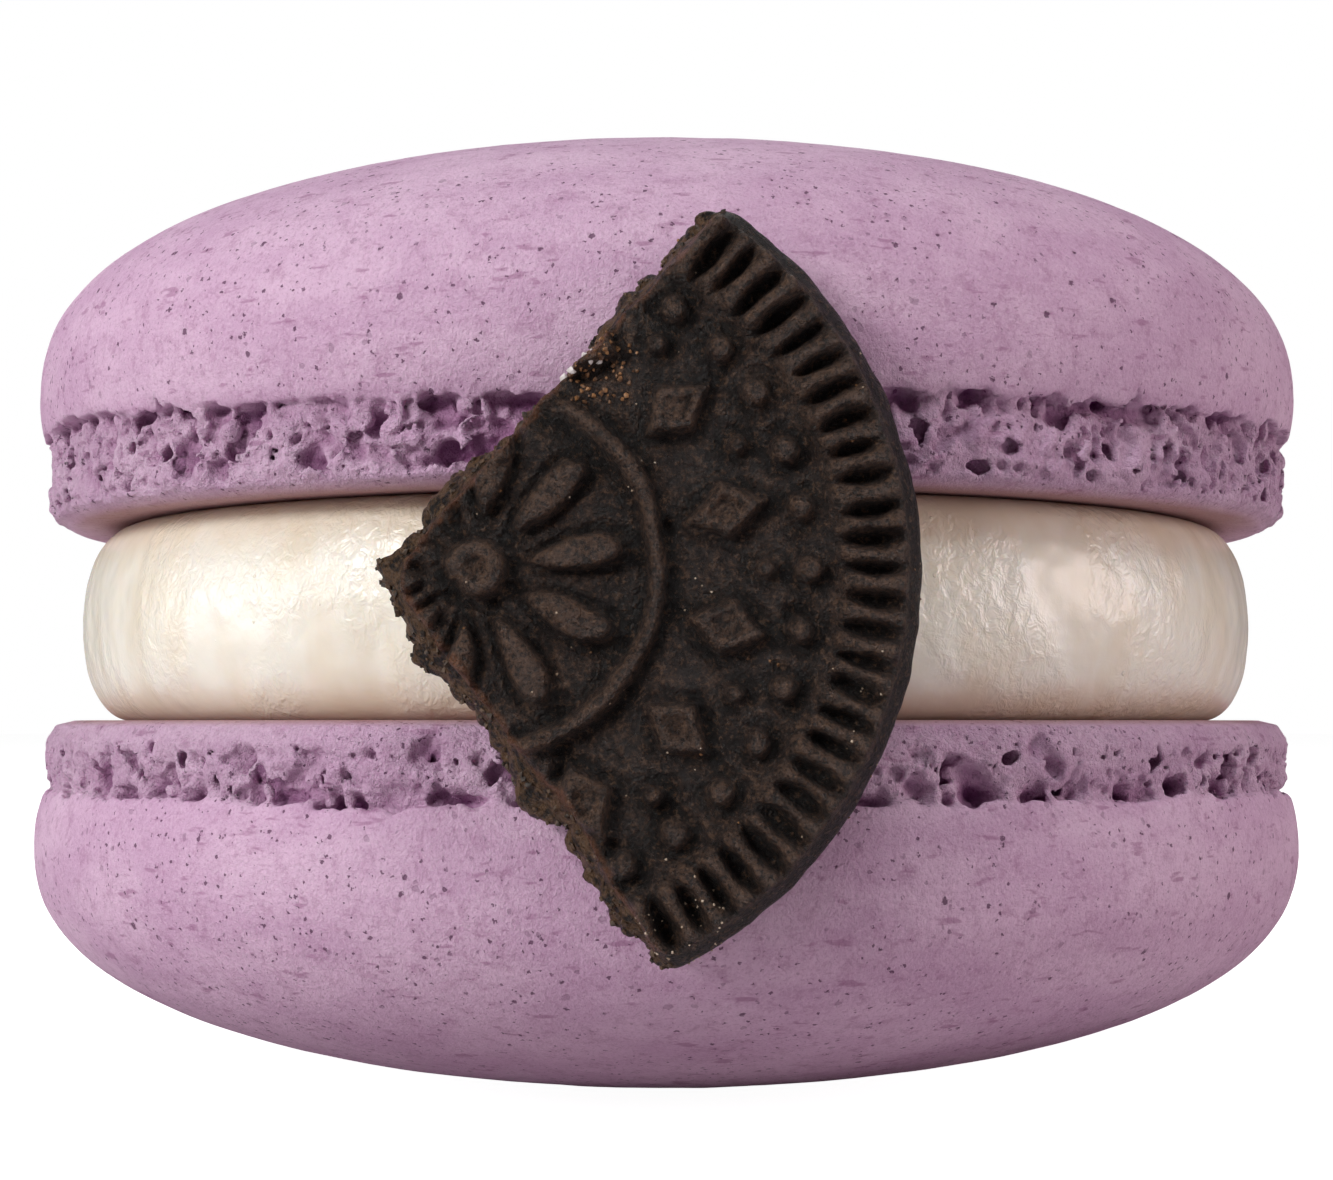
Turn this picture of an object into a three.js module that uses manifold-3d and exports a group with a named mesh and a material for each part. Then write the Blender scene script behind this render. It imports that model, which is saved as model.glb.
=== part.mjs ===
// A thick filled macaron: two domed almond shells with craggy feet, a barrel of cream between their flat faces, and
// a broken third of an embossed cocoa wafer pressed against the front. Millimetres, +Z up. The origin is the middle
// of the small flat spot that the lower shell rests on, and the wafer faces -Y.
import * as THREE from "three";
import { mergeVertices } from "three/addons/utils/BufferGeometryUtils.js";
import Module from "manifold-3d";

// Shells. Heights are measured from a shell's flat face towards its apex.
const SHELL_RADIUS = 26.0;
const LOWER_SHELL = { height: 14.52, equatorHeight: 4.77, footSeed: 11 };
const UPPER_SHELL = { height: 15.26, equatorHeight: 5.09, footSeed: 47 };
const DOME_ACROSS_POWER = 2.03; // how square the dome is, seen across
const DOME_UP_POWER = 2.44; // and seen upwards
const FLAT_SPOT_DEPTH = 0.12; // how far the lower dome has settled flat
const CROWN_DEPTH = 0.02;

// The foot: the spongy collar under each dome.
const FOOT_RADIUS = 25.6;
const FOOT_HEIGHT = 2.55;
const FOOT_UNEVENNESS = 0.25;
const FLAT_FACE_RADIUS = 24.8;
const DOME_LIP_RADIUS = 25.5;
const RUFFLE_STEPS = 150;
const CAVE_COUNT = 64; // the deep hollows right under the dome's lip
const PORE_COUNT = 150; // the smaller ones all over the foot

// Filling.
const FILLING_HEIGHT = 7.84;
const FILLING_CONTACT_RADIUS = 22.4;
const FILLING_BULGE = 1.8;
const FILLING_STEPS = 72;
const FILLING_ROWS = 8;
const DAB_HALF_ANGLE = 0.2; // the dab of cream that holds the wafer, to each side of the front
const CONTACT_GAP = 0.05;

// Wafer.
const WAFER_RADIUS = 13.9;
const PLATE_THICKNESS = 2.6;
const RELIEF_HEIGHT = 0.42;
const RIB_COUNT = 81;
const WAFER_CENTRE = { x: -5.9, z: 19.14 };
const TOP_TIP_ANGLE = 55.5; // degrees from +X to where the upper break leaves the rim
const BOTTOM_TIP_ANGLE = -63.2;
const BREAK_CORNER = { x: -3.0, y: -0.25 }; // where the two breaks meet, from the wafer's centre
const BREAK_ROUGHNESS = 0.22;
const BREAK_STEPS = 24;
// How far each break bulges beyond its straight line at the wafer's back, and falls short of it at the front, at even
// steps from the top tip to the corner and from the corner to the bottom tip.
const UPPER_BREAK = {
  back: [0, 0.35, 0.1, 0.5, 0.1, -0.05, 0.2, 0, 0.45, 0.5, 0.2, 0.25],
  front: [0, 0.2, 0.05, 0.15, 0.3],
};
const LOWER_BREAK = {
  back: [0.2, 0.3, 0.55, 0.2, 0.1, 0.35, 0.65, 0.1, 0.3, 0.5, 0.2, 0.2],
  front: [0.3, 0.4, 0.3, 0.6, 0.1, 0],
};

const LOWER_FLAT_FACE = LOWER_SHELL.height - FLAT_SPOT_DEPTH;
const UPPER_FLAT_FACE = LOWER_FLAT_FACE + FILLING_HEIGHT;
const WAFER_BACK = SHELL_RADIUS + CONTACT_GAP;
const TURN = 2 * Math.PI;
const FRONT = -Math.PI / 2; // azimuth of -Y

const clamp01 = (x) => Math.min(1, Math.max(0, x));
const smooth = (x) => clamp01(x) ** 2 * (3 - 2 * clamp01(x));
const lerp = THREE.MathUtils.lerp;

// A seeded source of even random numbers from 0 to 1.
function randomSource(seed) {
  let state = seed >>> 0;
  return () => {
    state = (state + 0x6d2b79f5) >>> 0;
    let t = Math.imul(state ^ (state >>> 15), 1 | state);
    t = (t + Math.imul(t ^ (t >>> 7), 61 | t)) ^ t;
    return ((t ^ (t >>> 14)) >>> 0) / 4294967296;
  };
}

// A smooth random wave round the full turn, from -1 to 1, with a few harmonics.
function roundWave(seed, lowest, highest) {
  const random = randomSource(seed);
  const terms = [];
  for (let n = lowest; n <= highest; n++) terms.push({ n, phase: random() * TURN, size: 0.5 + random() });
  const whole = terms.reduce((sum, term) => sum + term.size, 0);
  return (azimuth) => terms.reduce((sum, t) => sum + t.size * Math.sin(t.n * azimuth + t.phase), 0) / whole;
}

// Closed surfaces are built from rings of points, stacked from one flat cap to the other.
// The triangles of a strip between two rings follow whichever ring lags behind, so their counts may differ; where
// neither lags, the shorter diagonal is taken.
function stitch(triangles, points, lower, upper) {
  const tolerance = 0.75 / Math.max(lower.count, upper.count);
  let i = 0;
  let j = 0;
  while (i < lower.count || j < upper.count) {
    const a = lower.start + (i % lower.count);
    const b = upper.start + (j % upper.count);
    const nextA = lower.start + ((i + 1) % lower.count);
    const nextB = upper.start + ((j + 1) % upper.count);
    let lowerIsAhead = (i + 1) / lower.count - (j + 1) / upper.count;
    if (Math.abs(lowerIsAhead) < tolerance)
      lowerIsAhead = points[nextA].distanceTo(points[b]) - points[a].distanceTo(points[nextB]);
    if (i < lower.count && (j >= upper.count || lowerIsAhead <= 0)) {
      triangles.push(a, nextA, b);
      i++;
    } else {
      triangles.push(a, nextB, b);
      j++;
    }
  }
}

function capRing(triangles, points, ring, facesUp) {
  const outline = [];
  for (let i = 0; i < ring.count; i++) {
    const p = points[ring.start + i];
    outline.push(new THREE.Vector2(p.x, p.y));
  }
  for (const [a, b, c] of THREE.ShapeUtils.triangulateShape(outline, [])) {
    const turned = facesUp ? [a, b, c] : [a, c, b];
    triangles.push(...turned.map((k) => ring.start + k));
  }
}

// rings: arrays of Vector3, each anticlockwise seen from above, from the lowest cap to the highest.
function geometryFromRings(rings) {
  const points = [];
  const triangles = [];
  const spans = rings.map((ring) => {
    const span = { start: points.length, count: ring.length };
    points.push(...ring);
    return span;
  });
  for (let k = 0; k + 1 < spans.length; k++) stitch(triangles, points, spans[k], spans[k + 1]);
  capRing(triangles, points, spans[0], false);
  capRing(triangles, points, spans[spans.length - 1], true);
  return new THREE.BufferGeometry().setFromPoints(points).setIndex(triangles);
}

function ringAt(count, pointAt) {
  return Array.from({ length: count }, (_, i) => pointAt((TURN * i) / count));
}

const onCylinder = (radius, azimuth, z) =>
  new THREE.Vector3(radius * Math.cos(azimuth), radius * Math.sin(azimuth), z);

// The hollows of one foot: where they are, how wide and how deep. Caves sit in a row under the dome's lip.
function footHollows(seed) {
  const random = randomSource(seed);
  const hollows = [];
  for (let i = 0; i < CAVE_COUNT; i++)
    hollows.push({
      azimuth: (TURN * (i + random())) / CAVE_COUNT,
      height: 0.82 * FOOT_HEIGHT,
      across: lerp(0.8, 1.9, random()),
      up: lerp(0.55, 1.0, random()),
      depth: lerp(0.3, 1.5, random()),
    });
  for (let i = 0; i < PORE_COUNT; i++)
    hollows.push({
      azimuth: TURN * random(),
      height: lerp(0.25, 0.8, random()) * FOOT_HEIGHT,
      across: lerp(0.6, 1.2, random()),
      up: lerp(0.5, 1.1, random()),
      depth: lerp(0.15, 0.75, random()),
    });
  return (azimuth, height) => {
    let depth = 0;
    for (const h of hollows) {
      const turn = Math.atan2(Math.sin(azimuth - h.azimuth), Math.cos(azimuth - h.azimuth));
      const away = Math.hypot((turn * FOOT_RADIUS) / h.across, (height - h.height) / h.up);
      if (away < 1) depth = Math.max(depth, h.depth * smooth(1.4 * (1 - away)));
    }
    return depth;
  };
}

// A dome's radius and height along its arc, from the widest circle (0) to the apex (1).
function domePoint({ height, equatorHeight }, along) {
  const angle = (along * Math.PI) / 2;
  return {
    radius: SHELL_RADIUS * Math.cos(angle) ** (2 / DOME_ACROSS_POWER),
    height: equatorHeight + (height - equatorHeight) * Math.sin(angle) ** (2 / DOME_UP_POWER),
  };
}

// The radius at which a dome reaches a level, from the same curve.
function domeRadiusAt({ height, equatorHeight }, level) {
  const up = ((level - equatorHeight) / (height - equatorHeight)) ** DOME_UP_POWER;
  return SHELL_RADIUS * (1 - up) ** (1 / DOME_ACROSS_POWER);
}

// One shell, flat face down at z = 0, cut off level a little under its apex.
function shellGeometry(shell, capDepth) {
  const seed = shell.footSeed;
  const capHeight = shell.height - capDepth;
  const hollowDepth = footHollows(seed);
  const unevenness = roundWave(seed + 1, 2, 9);
  const raggedLip = roundWave(seed + 2, 17, 43);
  const footHeight = (azimuth) => FOOT_HEIGHT + FOOT_UNEVENNESS * unevenness(azimuth);
  const lipHeight = (azimuth) => footHeight(azimuth) + 0.22 * raggedLip(azimuth);

  const rings = [ringAt(RUFFLE_STEPS, (a) => onCylinder(FLAT_FACE_RADIUS, a, 0))];
  const footRows = 6;
  for (let k = 0; k <= footRows; k++) {
    const share = lerp(0.1, 0.92, k / footRows);
    rings.push(
      ringAt(RUFFLE_STEPS, (a) => {
        const height = share * footHeight(a);
        const belly = FOOT_RADIUS - 0.45 * (2 * share - 1) ** 2;
        return onCylinder(belly - hollowDepth(a, height), a, height);
      }),
    );
  }
  rings.push(ringAt(RUFFLE_STEPS, (a) => onCylinder(DOME_LIP_RADIUS, a, lipHeight(a))));
  rings.push(
    ringAt(RUFFLE_STEPS / 2, (a) => onCylinder(lerp(DOME_LIP_RADIUS, SHELL_RADIUS, 0.75), a, lipHeight(a) + 0.8)),
  );
  const capRadius = domeRadiusAt(shell, capHeight);
  const domeRows = 10;
  for (let k = 0; k < domeRows; k++) {
    const { radius, height } = domePoint(shell, (0.93 * k) / domeRows);
    if (height < capHeight - 0.1 && radius > capRadius + 0.6)
      rings.push(ringAt(RUFFLE_STEPS / (k < 6 ? 2 : 3), (a) => onCylinder(radius, a, height)));
  }
  rings.push(ringAt(RUFFLE_STEPS / 5, (a) => onCylinder(capRadius, a, capHeight)));
  return geometryFromRings(rings);
}

// The cream: a barrel between the flat faces, with a dab at the front that the wafer is pressed into.
function fillingGeometry() {
  const swell = roundWave(71, 2, 7);
  const rings = [];
  for (let k = 0; k <= FILLING_ROWS; k++) {
    const angle = lerp(-Math.PI / 2, Math.PI / 2, k / FILLING_ROWS);
    const z = LOWER_FLAT_FACE + (FILLING_HEIGHT / 2) * (1 + Math.sin(angle));
    rings.push(
      ringAt(FILLING_STEPS, (azimuth) => {
        const bulge = FILLING_BULGE + 0.12 * swell(azimuth);
        const belly = FILLING_CONTACT_RADIUS + bulge * Math.cos(angle);
        const offFront = Math.abs(Math.atan2(Math.sin(azimuth - FRONT), Math.cos(azimuth - FRONT)));
        const dab = smooth(1.6 * (1 - offFront / DAB_HALF_ANGLE)) * smooth(1.5 * Math.cos(angle));
        const pressedFlat = (WAFER_BACK - CONTACT_GAP) / Math.cos(offFront);
        return onCylinder(lerp(belly, pressedFlat, dab), azimuth, z);
      }),
    );
  }
  return geometryFromRings(rings);
}

// A raised figure on the wafer: an outline swept up from inside the plate to a smaller top.
function raisedFigure(outline, topShare, height = RELIEF_HEIGHT) {
  const centre = outline.reduce((sum, p) => sum.add(p), new THREE.Vector2()).divideScalar(outline.length);
  const layer = (share, z) =>
    outline.map((p) => new THREE.Vector3(lerp(centre.x, p.x, share), lerp(centre.y, p.y, share), z));
  return geometryFromRings([
    layer(1, PLATE_THICKNESS - 0.3),
    layer(1, PLATE_THICKNESS + 0.3 * height),
    layer(topShare, PLATE_THICKNESS + height),
  ]);
}

// An outline given along and across a radius of the wafer, placed at a radius and turned to an angle.
function radialOutline(points, radius, angle) {
  return points.map(([along, across]) =>
    new THREE.Vector2(radius + along, across).rotateAround(new THREE.Vector2(), angle),
  );
}

// The figures of the embossing, each an anticlockwise outline along and across a radius.
const RIB = [[-1.1, -0.13], [-0.9, -0.27], [0.9, -0.3], [0.9, 0.3], [-0.9, 0.27], [-1.1, 0.13]];
const LOZENGE = [[-1.25, 0], [0, -0.9], [1.25, 0], [0, 0.9]];
const PETAL = [[-1.5, 0], [-0.6, -0.5], [0.5, -0.62], [1.25, -0.35], [1.5, 0], [1.25, 0.35], [0.5, 0.62], [-0.6, 0.5]];

function bead(size) {
  const corners = 7;
  return Array.from({ length: corners }, (_, i) => {
    const turn = (TURN * i) / corners;
    return [size * Math.cos(turn), size * Math.sin(turn)];
  });
}

// The embossing: ribs round the rim, then beads, lozenges with a bead between each two, a plain ring and a rosette.
function embossing() {
  const figures = [];
  const ringOf = (count, radius, points, topShare, turn = 0) => {
    for (let i = 0; i < count; i++)
      figures.push(raisedFigure(radialOutline(points, radius, (TURN * (i + turn)) / count), topShare));
  };
  ringOf(RIB_COUNT, 12.35, RIB, 0.72);
  ringOf(34, 10.25, bead(0.44), 0.5);
  ringOf(14, 7.95, LOZENGE, 0.45, 0.5);
  ringOf(14, 8.75, bead(0.32), 0.5);
  ringOf(10, 3.15, PETAL, 0.5, 0.25);
  ringOf(1, 0, bead(0.95), 0.55);
  const plainRing = [[5.35, -0.3], [5.95, -0.3], [5.9, 0.15], [5.75, 0.34], [5.55, 0.34], [5.4, 0.15], [5.35, -0.3]];
  figures.push(
    new THREE.LatheGeometry(plainRing.map(([r, z]) => new THREE.Vector2(r, z)), 56)
      .rotateX(Math.PI / 2)
      .translate(0, 0, PLATE_THICKNESS),
  );
  return figures;
}

function plateGeometry() {
  const profile = [
    [WAFER_RADIUS - 0.5, 0], [WAFER_RADIUS, 0.6], [WAFER_RADIUS, 1.9],
    [WAFER_RADIUS - 0.3, 2.42], [WAFER_RADIUS - 0.7, PLATE_THICKNESS],
  ];
  return geometryFromRings(profile.map(([radius, z]) => ringAt(RIB_COUNT, (a) => onCylinder(radius, a, z))));
}

// A value between the evenly spaced ones of a list, at a share of the way along it.
function valueAlong(list, share) {
  const at = share * (list.length - 1);
  const i = Math.min(Math.floor(at), list.length - 2);
  return lerp(list[i], list[i + 1], smooth(at - i));
}

// What the break has left: a block round the fragment whose two broken sides are rough and reach out at the back.
function fragmentBlock() {
  const random = randomSource(905);
  const onRim = (degrees) =>
    new THREE.Vector2(WAFER_RADIUS, 0).rotateAround(new THREE.Vector2(), THREE.MathUtils.degToRad(degrees));
  const top = onRim(TOP_TIP_ANGLE);
  const bottom = onRim(BOTTOM_TIP_ANGLE);
  const corner = new THREE.Vector2(BREAK_CORNER.x, BREAK_CORNER.y);
  const brokenSide = (from, to, shape, share, roughness) => {
    const outwards = new THREE.Vector2(to.y - from.y, from.x - to.x).normalize();
    return Array.from({ length: BREAK_STEPS }, (_, i) => {
      const along = i / BREAK_STEPS;
      const away = lerp(-valueAlong(shape.front, along), valueAlong(shape.back, along), share);
      return from
        .clone()
        .lerp(to, along)
        .addScaledVector(outwards, away + roughness * (2 * random() - 1));
    });
  };
  const layers = [
    { z: -1, back: 0.75, roughness: 0.4 },
    { z: 0.3, back: 0.9, roughness: 0.8 },
    { z: 0.8, back: 1, roughness: 0.9 },
    { z: 1.3, back: 0.9, roughness: 1 },
    { z: 1.75, back: 0.35, roughness: 1 },
    { z: 2.2, back: 0.2, roughness: 0.8 },
    { z: 2.5, back: 0, roughness: 0.45 },
    { z: 4, back: 0, roughness: 0.45 },
  ];
  const side = 1.4 * WAFER_RADIUS;
  return geometryFromRings(
    layers.map(({ z, back, roughness }) => {
      const outline = [
        ...brokenSide(top, corner, UPPER_BREAK, back, BREAK_ROUGHNESS * roughness),
        ...brokenSide(corner, bottom, LOWER_BREAK, back, BREAK_ROUGHNESS * roughness),
        bottom.clone().multiplyScalar(1.3),
        new THREE.Vector2(side, -side),
        new THREE.Vector2(side, side),
        top.clone().multiplyScalar(1.3),
      ];
      return outline.map((p) => new THREE.Vector3(p.x, p.y, z));
    }),
  );
}

const wasm = await Module();
wasm.setup();

function solidFrom(geometry) {
  const bare = new THREE.BufferGeometry();
  bare.setAttribute("position", geometry.getAttribute("position"));
  bare.setIndex(geometry.index);
  const merged = mergeVertices(bare, 1e-4);
  return new wasm.Manifold(
    new wasm.Mesh({
      numProp: 3,
      vertProperties: merged.attributes.position.array,
      triVerts: new Uint32Array(merged.index.array),
    }),
  );
}

function geometryFrom(solid) {
  const mesh = solid.getMesh();
  const positions = new Float32Array(mesh.numVert * 3);
  for (let i = 0; i < mesh.numVert; i++)
    positions.set(mesh.vertProperties.subarray(i * mesh.numProp, i * mesh.numProp + 3), i * 3);
  return new THREE.BufferGeometry()
    .setAttribute("position", new THREE.BufferAttribute(positions, 3))
    .setIndex(new THREE.BufferAttribute(new Uint32Array(mesh.triVerts), 1));
}

function waferGeometry() {
  let solid = solidFrom(plateGeometry());
  for (const figure of embossing()) solid = solid.add(solidFrom(figure));
  return geometryFrom(solid.intersect(solidFrom(fragmentBlock())));
}

const MATERIALS = {
  shell: new THREE.MeshStandardMaterial({ color: 0xcfa0c6, roughness: 0.62, metalness: 0 }),
  cream: new THREE.MeshStandardMaterial({ color: 0xece2d2, roughness: 0.32, metalness: 0 }),
  cocoa: new THREE.MeshStandardMaterial({ color: 0x33241f, roughness: 0.68, metalness: 0 }),
};

function namedMesh(name, geometry, material) {
  const mesh = new THREE.Mesh(geometry, material);
  mesh.name = name;
  geometry.computeVertexNormals();
  return mesh;
}

const lowerShell = namedMesh("shell_lower", shellGeometry(LOWER_SHELL, FLAT_SPOT_DEPTH), MATERIALS.shell);
lowerShell.rotation.x = Math.PI;
lowerShell.position.z = LOWER_FLAT_FACE;

const filling = namedMesh("filling", fillingGeometry(), MATERIALS.cream);

const upperShell = namedMesh("shell_upper", shellGeometry(UPPER_SHELL, CROWN_DEPTH), MATERIALS.shell);
upperShell.position.z = UPPER_FLAT_FACE;

const wafer = namedMesh("wafer", waferGeometry(), MATERIALS.cocoa);
wafer.rotation.x = Math.PI / 2;
wafer.position.set(WAFER_CENTRE.x, -WAFER_BACK, WAFER_CENTRE.z);

const macaron = new THREE.Group();
macaron.add(lowerShell, filling, upperShell, wafer);

export default macaron;
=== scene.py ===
"""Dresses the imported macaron: spongy almond shells, an ivory filling and a broken cocoa wafer.

Sizes are in millimetres while a shape is worked out, and become metres when its mesh is made.
"""

from __future__ import annotations

import logging
import math
from dataclasses import dataclass, field
from enum import Enum
from typing import Any, Sequence

import bmesh
import bpy
import numpy as np
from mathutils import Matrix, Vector

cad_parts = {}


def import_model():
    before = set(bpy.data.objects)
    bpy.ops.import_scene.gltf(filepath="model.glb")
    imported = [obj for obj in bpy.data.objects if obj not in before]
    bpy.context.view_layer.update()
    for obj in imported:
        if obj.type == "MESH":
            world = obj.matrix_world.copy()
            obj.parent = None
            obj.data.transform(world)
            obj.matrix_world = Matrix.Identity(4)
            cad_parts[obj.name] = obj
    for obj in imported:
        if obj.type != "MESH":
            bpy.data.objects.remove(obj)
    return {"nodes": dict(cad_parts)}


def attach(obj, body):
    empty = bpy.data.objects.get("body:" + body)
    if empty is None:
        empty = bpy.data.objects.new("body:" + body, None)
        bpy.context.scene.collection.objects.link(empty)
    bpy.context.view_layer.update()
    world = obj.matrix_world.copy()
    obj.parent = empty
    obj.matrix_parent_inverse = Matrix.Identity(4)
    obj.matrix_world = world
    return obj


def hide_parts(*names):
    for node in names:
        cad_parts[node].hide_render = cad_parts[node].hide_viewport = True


log = logging.getLogger("macaron")

MM = 0.001
TURN = 2 * math.pi
FRONT = -math.pi / 2
MOST_TRIANGLES = 196_000
Array = np.ndarray
Colour = tuple[float, ...]


class Slot(Enum):
    """The record's material slots."""

    SHELL = "shell"
    CREAM = "cream"
    COCOA = "cocoa"


def srgb(red: float, green: float, blue: float) -> tuple[float, float, float, float]:
    """Turns a screen colour into a linear one, by the curve of the sRGB standard.

    Args:
        red: its red, from 0 to 255.
        green: its green, from 0 to 255.
        blue: its blue, from 0 to 255.

    Returns:
        Red, green, blue and alpha, from 0 to 1.
    """
    linear = [
        c / 12.92 if c <= 0.04045 else ((c + 0.055) / 1.055) ** 2.4
        for c in (red / 255, green / 255, blue / 255)
    ]
    return (linear[0], linear[1], linear[2], 1.0)


# --------------------------------------------------------------------------------------------------
# Shapes worked out on grids


class Grain:
    """Smooth random noise in space, from a seeded lattice that repeats far away."""

    def __init__(self, seed: int, size: int = 48) -> None:
        """Fills the lattice.

        Args:
            seed: the random seed.
            size: lattice points along each side.
        """
        self.size = size
        self.lattice = np.random.default_rng(seed).uniform(-1, 1, (size, size, size)).astype(np.float32)

    def at(self, points: Array, wavelength: float | Sequence[float]) -> Array:
        """Samples the noise.

        Args:
            points: positions in mm, the last axis x, y, z.
            wavelength: distance between lattice points in mm, one number or one for each axis.

        Returns:
            Values from about -1 to 1.
        """
        scaled = points / np.asarray(wavelength, dtype=np.float32)
        low = np.floor(scaled).astype(np.int32)
        part = scaled - low
        part = part * part * (3 - 2 * part)
        near = low % self.size
        far = (low + 1) % self.size
        total = np.zeros(points.shape[:-1], dtype=np.float32)
        for corner in range(8):
            pick = [(corner >> axis) & 1 for axis in range(3)]
            index = tuple((far if pick[axis] else near)[..., axis] for axis in range(3))
            weight = np.ones(points.shape[:-1], dtype=np.float32)
            for axis in range(3):
                weight = weight * (part[..., axis] if pick[axis] else 1 - part[..., axis])
            total += weight * self.lattice[index]
        return total

    def rough(self, points: Array, wavelength: float, octaves: int = 3) -> Array:
        """Sums octaves of the noise, each half as large and twice as fine.

        Args:
            points: positions in mm.
            wavelength: that of the coarsest octave, in mm.
            octaves: how many.

        Returns:
            Values from about -1 to 1.
        """
        total = np.zeros(points.shape[:-1], dtype=np.float32)
        for octave in range(octaves):
            shifted = points + 7.3 * (octave + 1)
            total += 0.5**octave * self.at(shifted, wavelength / 2**octave)
        return total


class Cells:
    """Points scattered in space, one in each cell of a seeded lattice that repeats far away."""

    def __init__(self, seed: int, size: int = 40) -> None:
        """Places the points within their cells.

        Args:
            seed: the random seed.
            size: cells along each side.
        """
        self.size = size
        self.places = np.random.default_rng(seed).uniform(0, 1, (size, size, size, 3)).astype(np.float32)

    def away(self, points: Array, spacing: float) -> Array:
        """Measures how far the nearest scattered point is.

        Args:
            points: positions in mm.
            spacing: the cells' size in mm.

        Returns:
            Distances as shares of the spacing, from 0 to about 0.9.
        """
        scaled = (points / spacing).astype(np.float32)
        base = np.floor(scaled).astype(np.int32)
        part = scaled - base
        nearest = np.full(points.shape[:-1], 9.0, dtype=np.float32)
        for step in np.ndindex(3, 3, 3):
            shift = np.array(step, dtype=np.int32) - 1
            cell = (base + shift) % self.size
            offset = self.places[cell[..., 0], cell[..., 1], cell[..., 2]] + shift - part
            nearest = np.minimum(nearest, (offset * offset).sum(axis=-1))
        return np.sqrt(nearest)


def ramp(value: Array | float, start: float, end: float) -> Array:
    """Returns a smooth step from 0 at start to 1 at end."""
    share = np.clip((value - start) / (end - start), 0, 1)
    return share * share * (3 - 2 * share)


def soft_min(first: Array, second: Array, blend: float) -> Array:
    """Returns the smaller value, rounded where the two are within blend of each other."""
    share = np.clip(0.5 + 0.5 * (second - first) / blend, 0, 1)
    return second + (first - second) * share - blend * share * (1 - share)


def soft_max(first: Array, second: Array, blend: float) -> Array:
    """Returns the larger value, rounded where the two are within blend of each other."""
    return -soft_min(-first, -second, blend)


def joined(part: Array, seed: Array) -> Array:
    """Finds the samples of a part that join on to a seed.

    Args:
        part: which samples belong to the part, on a grid whose first axis closes on itself.
        seed: which of the samples to start from.

    Returns:
        Which samples of the part can be reached from the seed.
    """
    reached = part & seed
    while True:
        grown = reached | np.roll(reached, 1, axis=0) | np.roll(reached, -1, axis=0)
        grown[:, 1:] |= reached[:, :-1]
        grown[:, :-1] |= reached[:, 1:]
        grown[..., 1:] |= reached[..., :-1]
        grown[..., :-1] |= reached[..., 1:]
        grown &= part
        if grown.sum() == reached.sum():
            return reached
        reached = grown


@dataclass
class Net:
    """A surface drawn round a sampled solid.

    Its vertices are in grid coordinates, its faces have four sides, and cells holds the number of
    each grid cell's vertex, or -1 where the surface doesn't pass.
    """

    vertices: Array
    faces: Array
    cells: Array

    @classmethod
    def around(cls, solid: Array, wraps: bool = False) -> "Net":
        """Finds the surface between samples inside the solid (positive) and outside it.

        Args:
            solid: the samples.
            wraps: whether the first axis closes on itself.

        Returns:
            The net. Its faces point out of the solid where the grid is right-handed.
        """
        if wraps:
            solid = np.concatenate([solid, solid[:1]])
        counts = [n - 1 for n in solid.shape]
        total = np.zeros((*counts, 3), dtype=np.float32)
        crossings = np.zeros(counts, dtype=np.float32)
        crossed = []
        for axis in range(3):
            low = solid[tuple(slice(None, -1) if a == axis else slice(None) for a in range(3))]
            high = solid[tuple(slice(1, None) if a == axis else slice(None) for a in range(3))]
            cross = (low > 0) != (high > 0)
            where = np.where(cross, low / np.where(cross, low - high, 1), 0)
            crossed.append((cross, low > 0))
            second, third = (axis + 1) % 3, (axis + 2) % 3
            for step_second in (0, 1):
                for step_third in (0, 1):
                    window = [slice(0, counts[a]) for a in range(3)]
                    window[second] = slice(step_second, step_second + counts[second])
                    window[third] = slice(step_third, step_third + counts[third])
                    here = cross[tuple(window)]
                    crossings += here
                    total[..., axis] += where[tuple(window)]
                    total[..., second] += here * step_second
                    total[..., third] += here * step_third
        used = crossings > 0
        cells = np.full(counts, -1, dtype=np.int64)
        cells[used] = np.arange(int(used.sum()))
        vertices = np.argwhere(used) + total[used] / crossings[used][:, None]
        faces = []
        for axis, (cross, inside_low) in enumerate(crossed):
            second, third = (axis + 1) % 3, (axis + 2) % 3
            at = np.argwhere(cross)
            keep = np.ones(len(at), dtype=bool)
            for other in (second, third):
                if wraps and other == 0:
                    keep &= at[:, 0] < counts[0]
                else:
                    keep &= (at[:, other] >= 1) & (at[:, other] <= counts[other] - 1)
            at = at[keep]
            corners = []
            for back_second, back_third in ((1, 1), (0, 1), (0, 0), (1, 0)):
                cell = at.copy()
                cell[:, second] -= back_second
                cell[:, third] -= back_third
                if wraps:
                    cell[:, 0] %= counts[0]
                corners.append(cells[tuple(cell.T)])
            quads = np.stack(corners, axis=1)
            outwards = inside_low[tuple(at.T)]
            quads[~outwards] = quads[~outwards][:, ::-1]
            faces.append(quads)
        return cls(vertices, np.concatenate(faces), cells)


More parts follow.
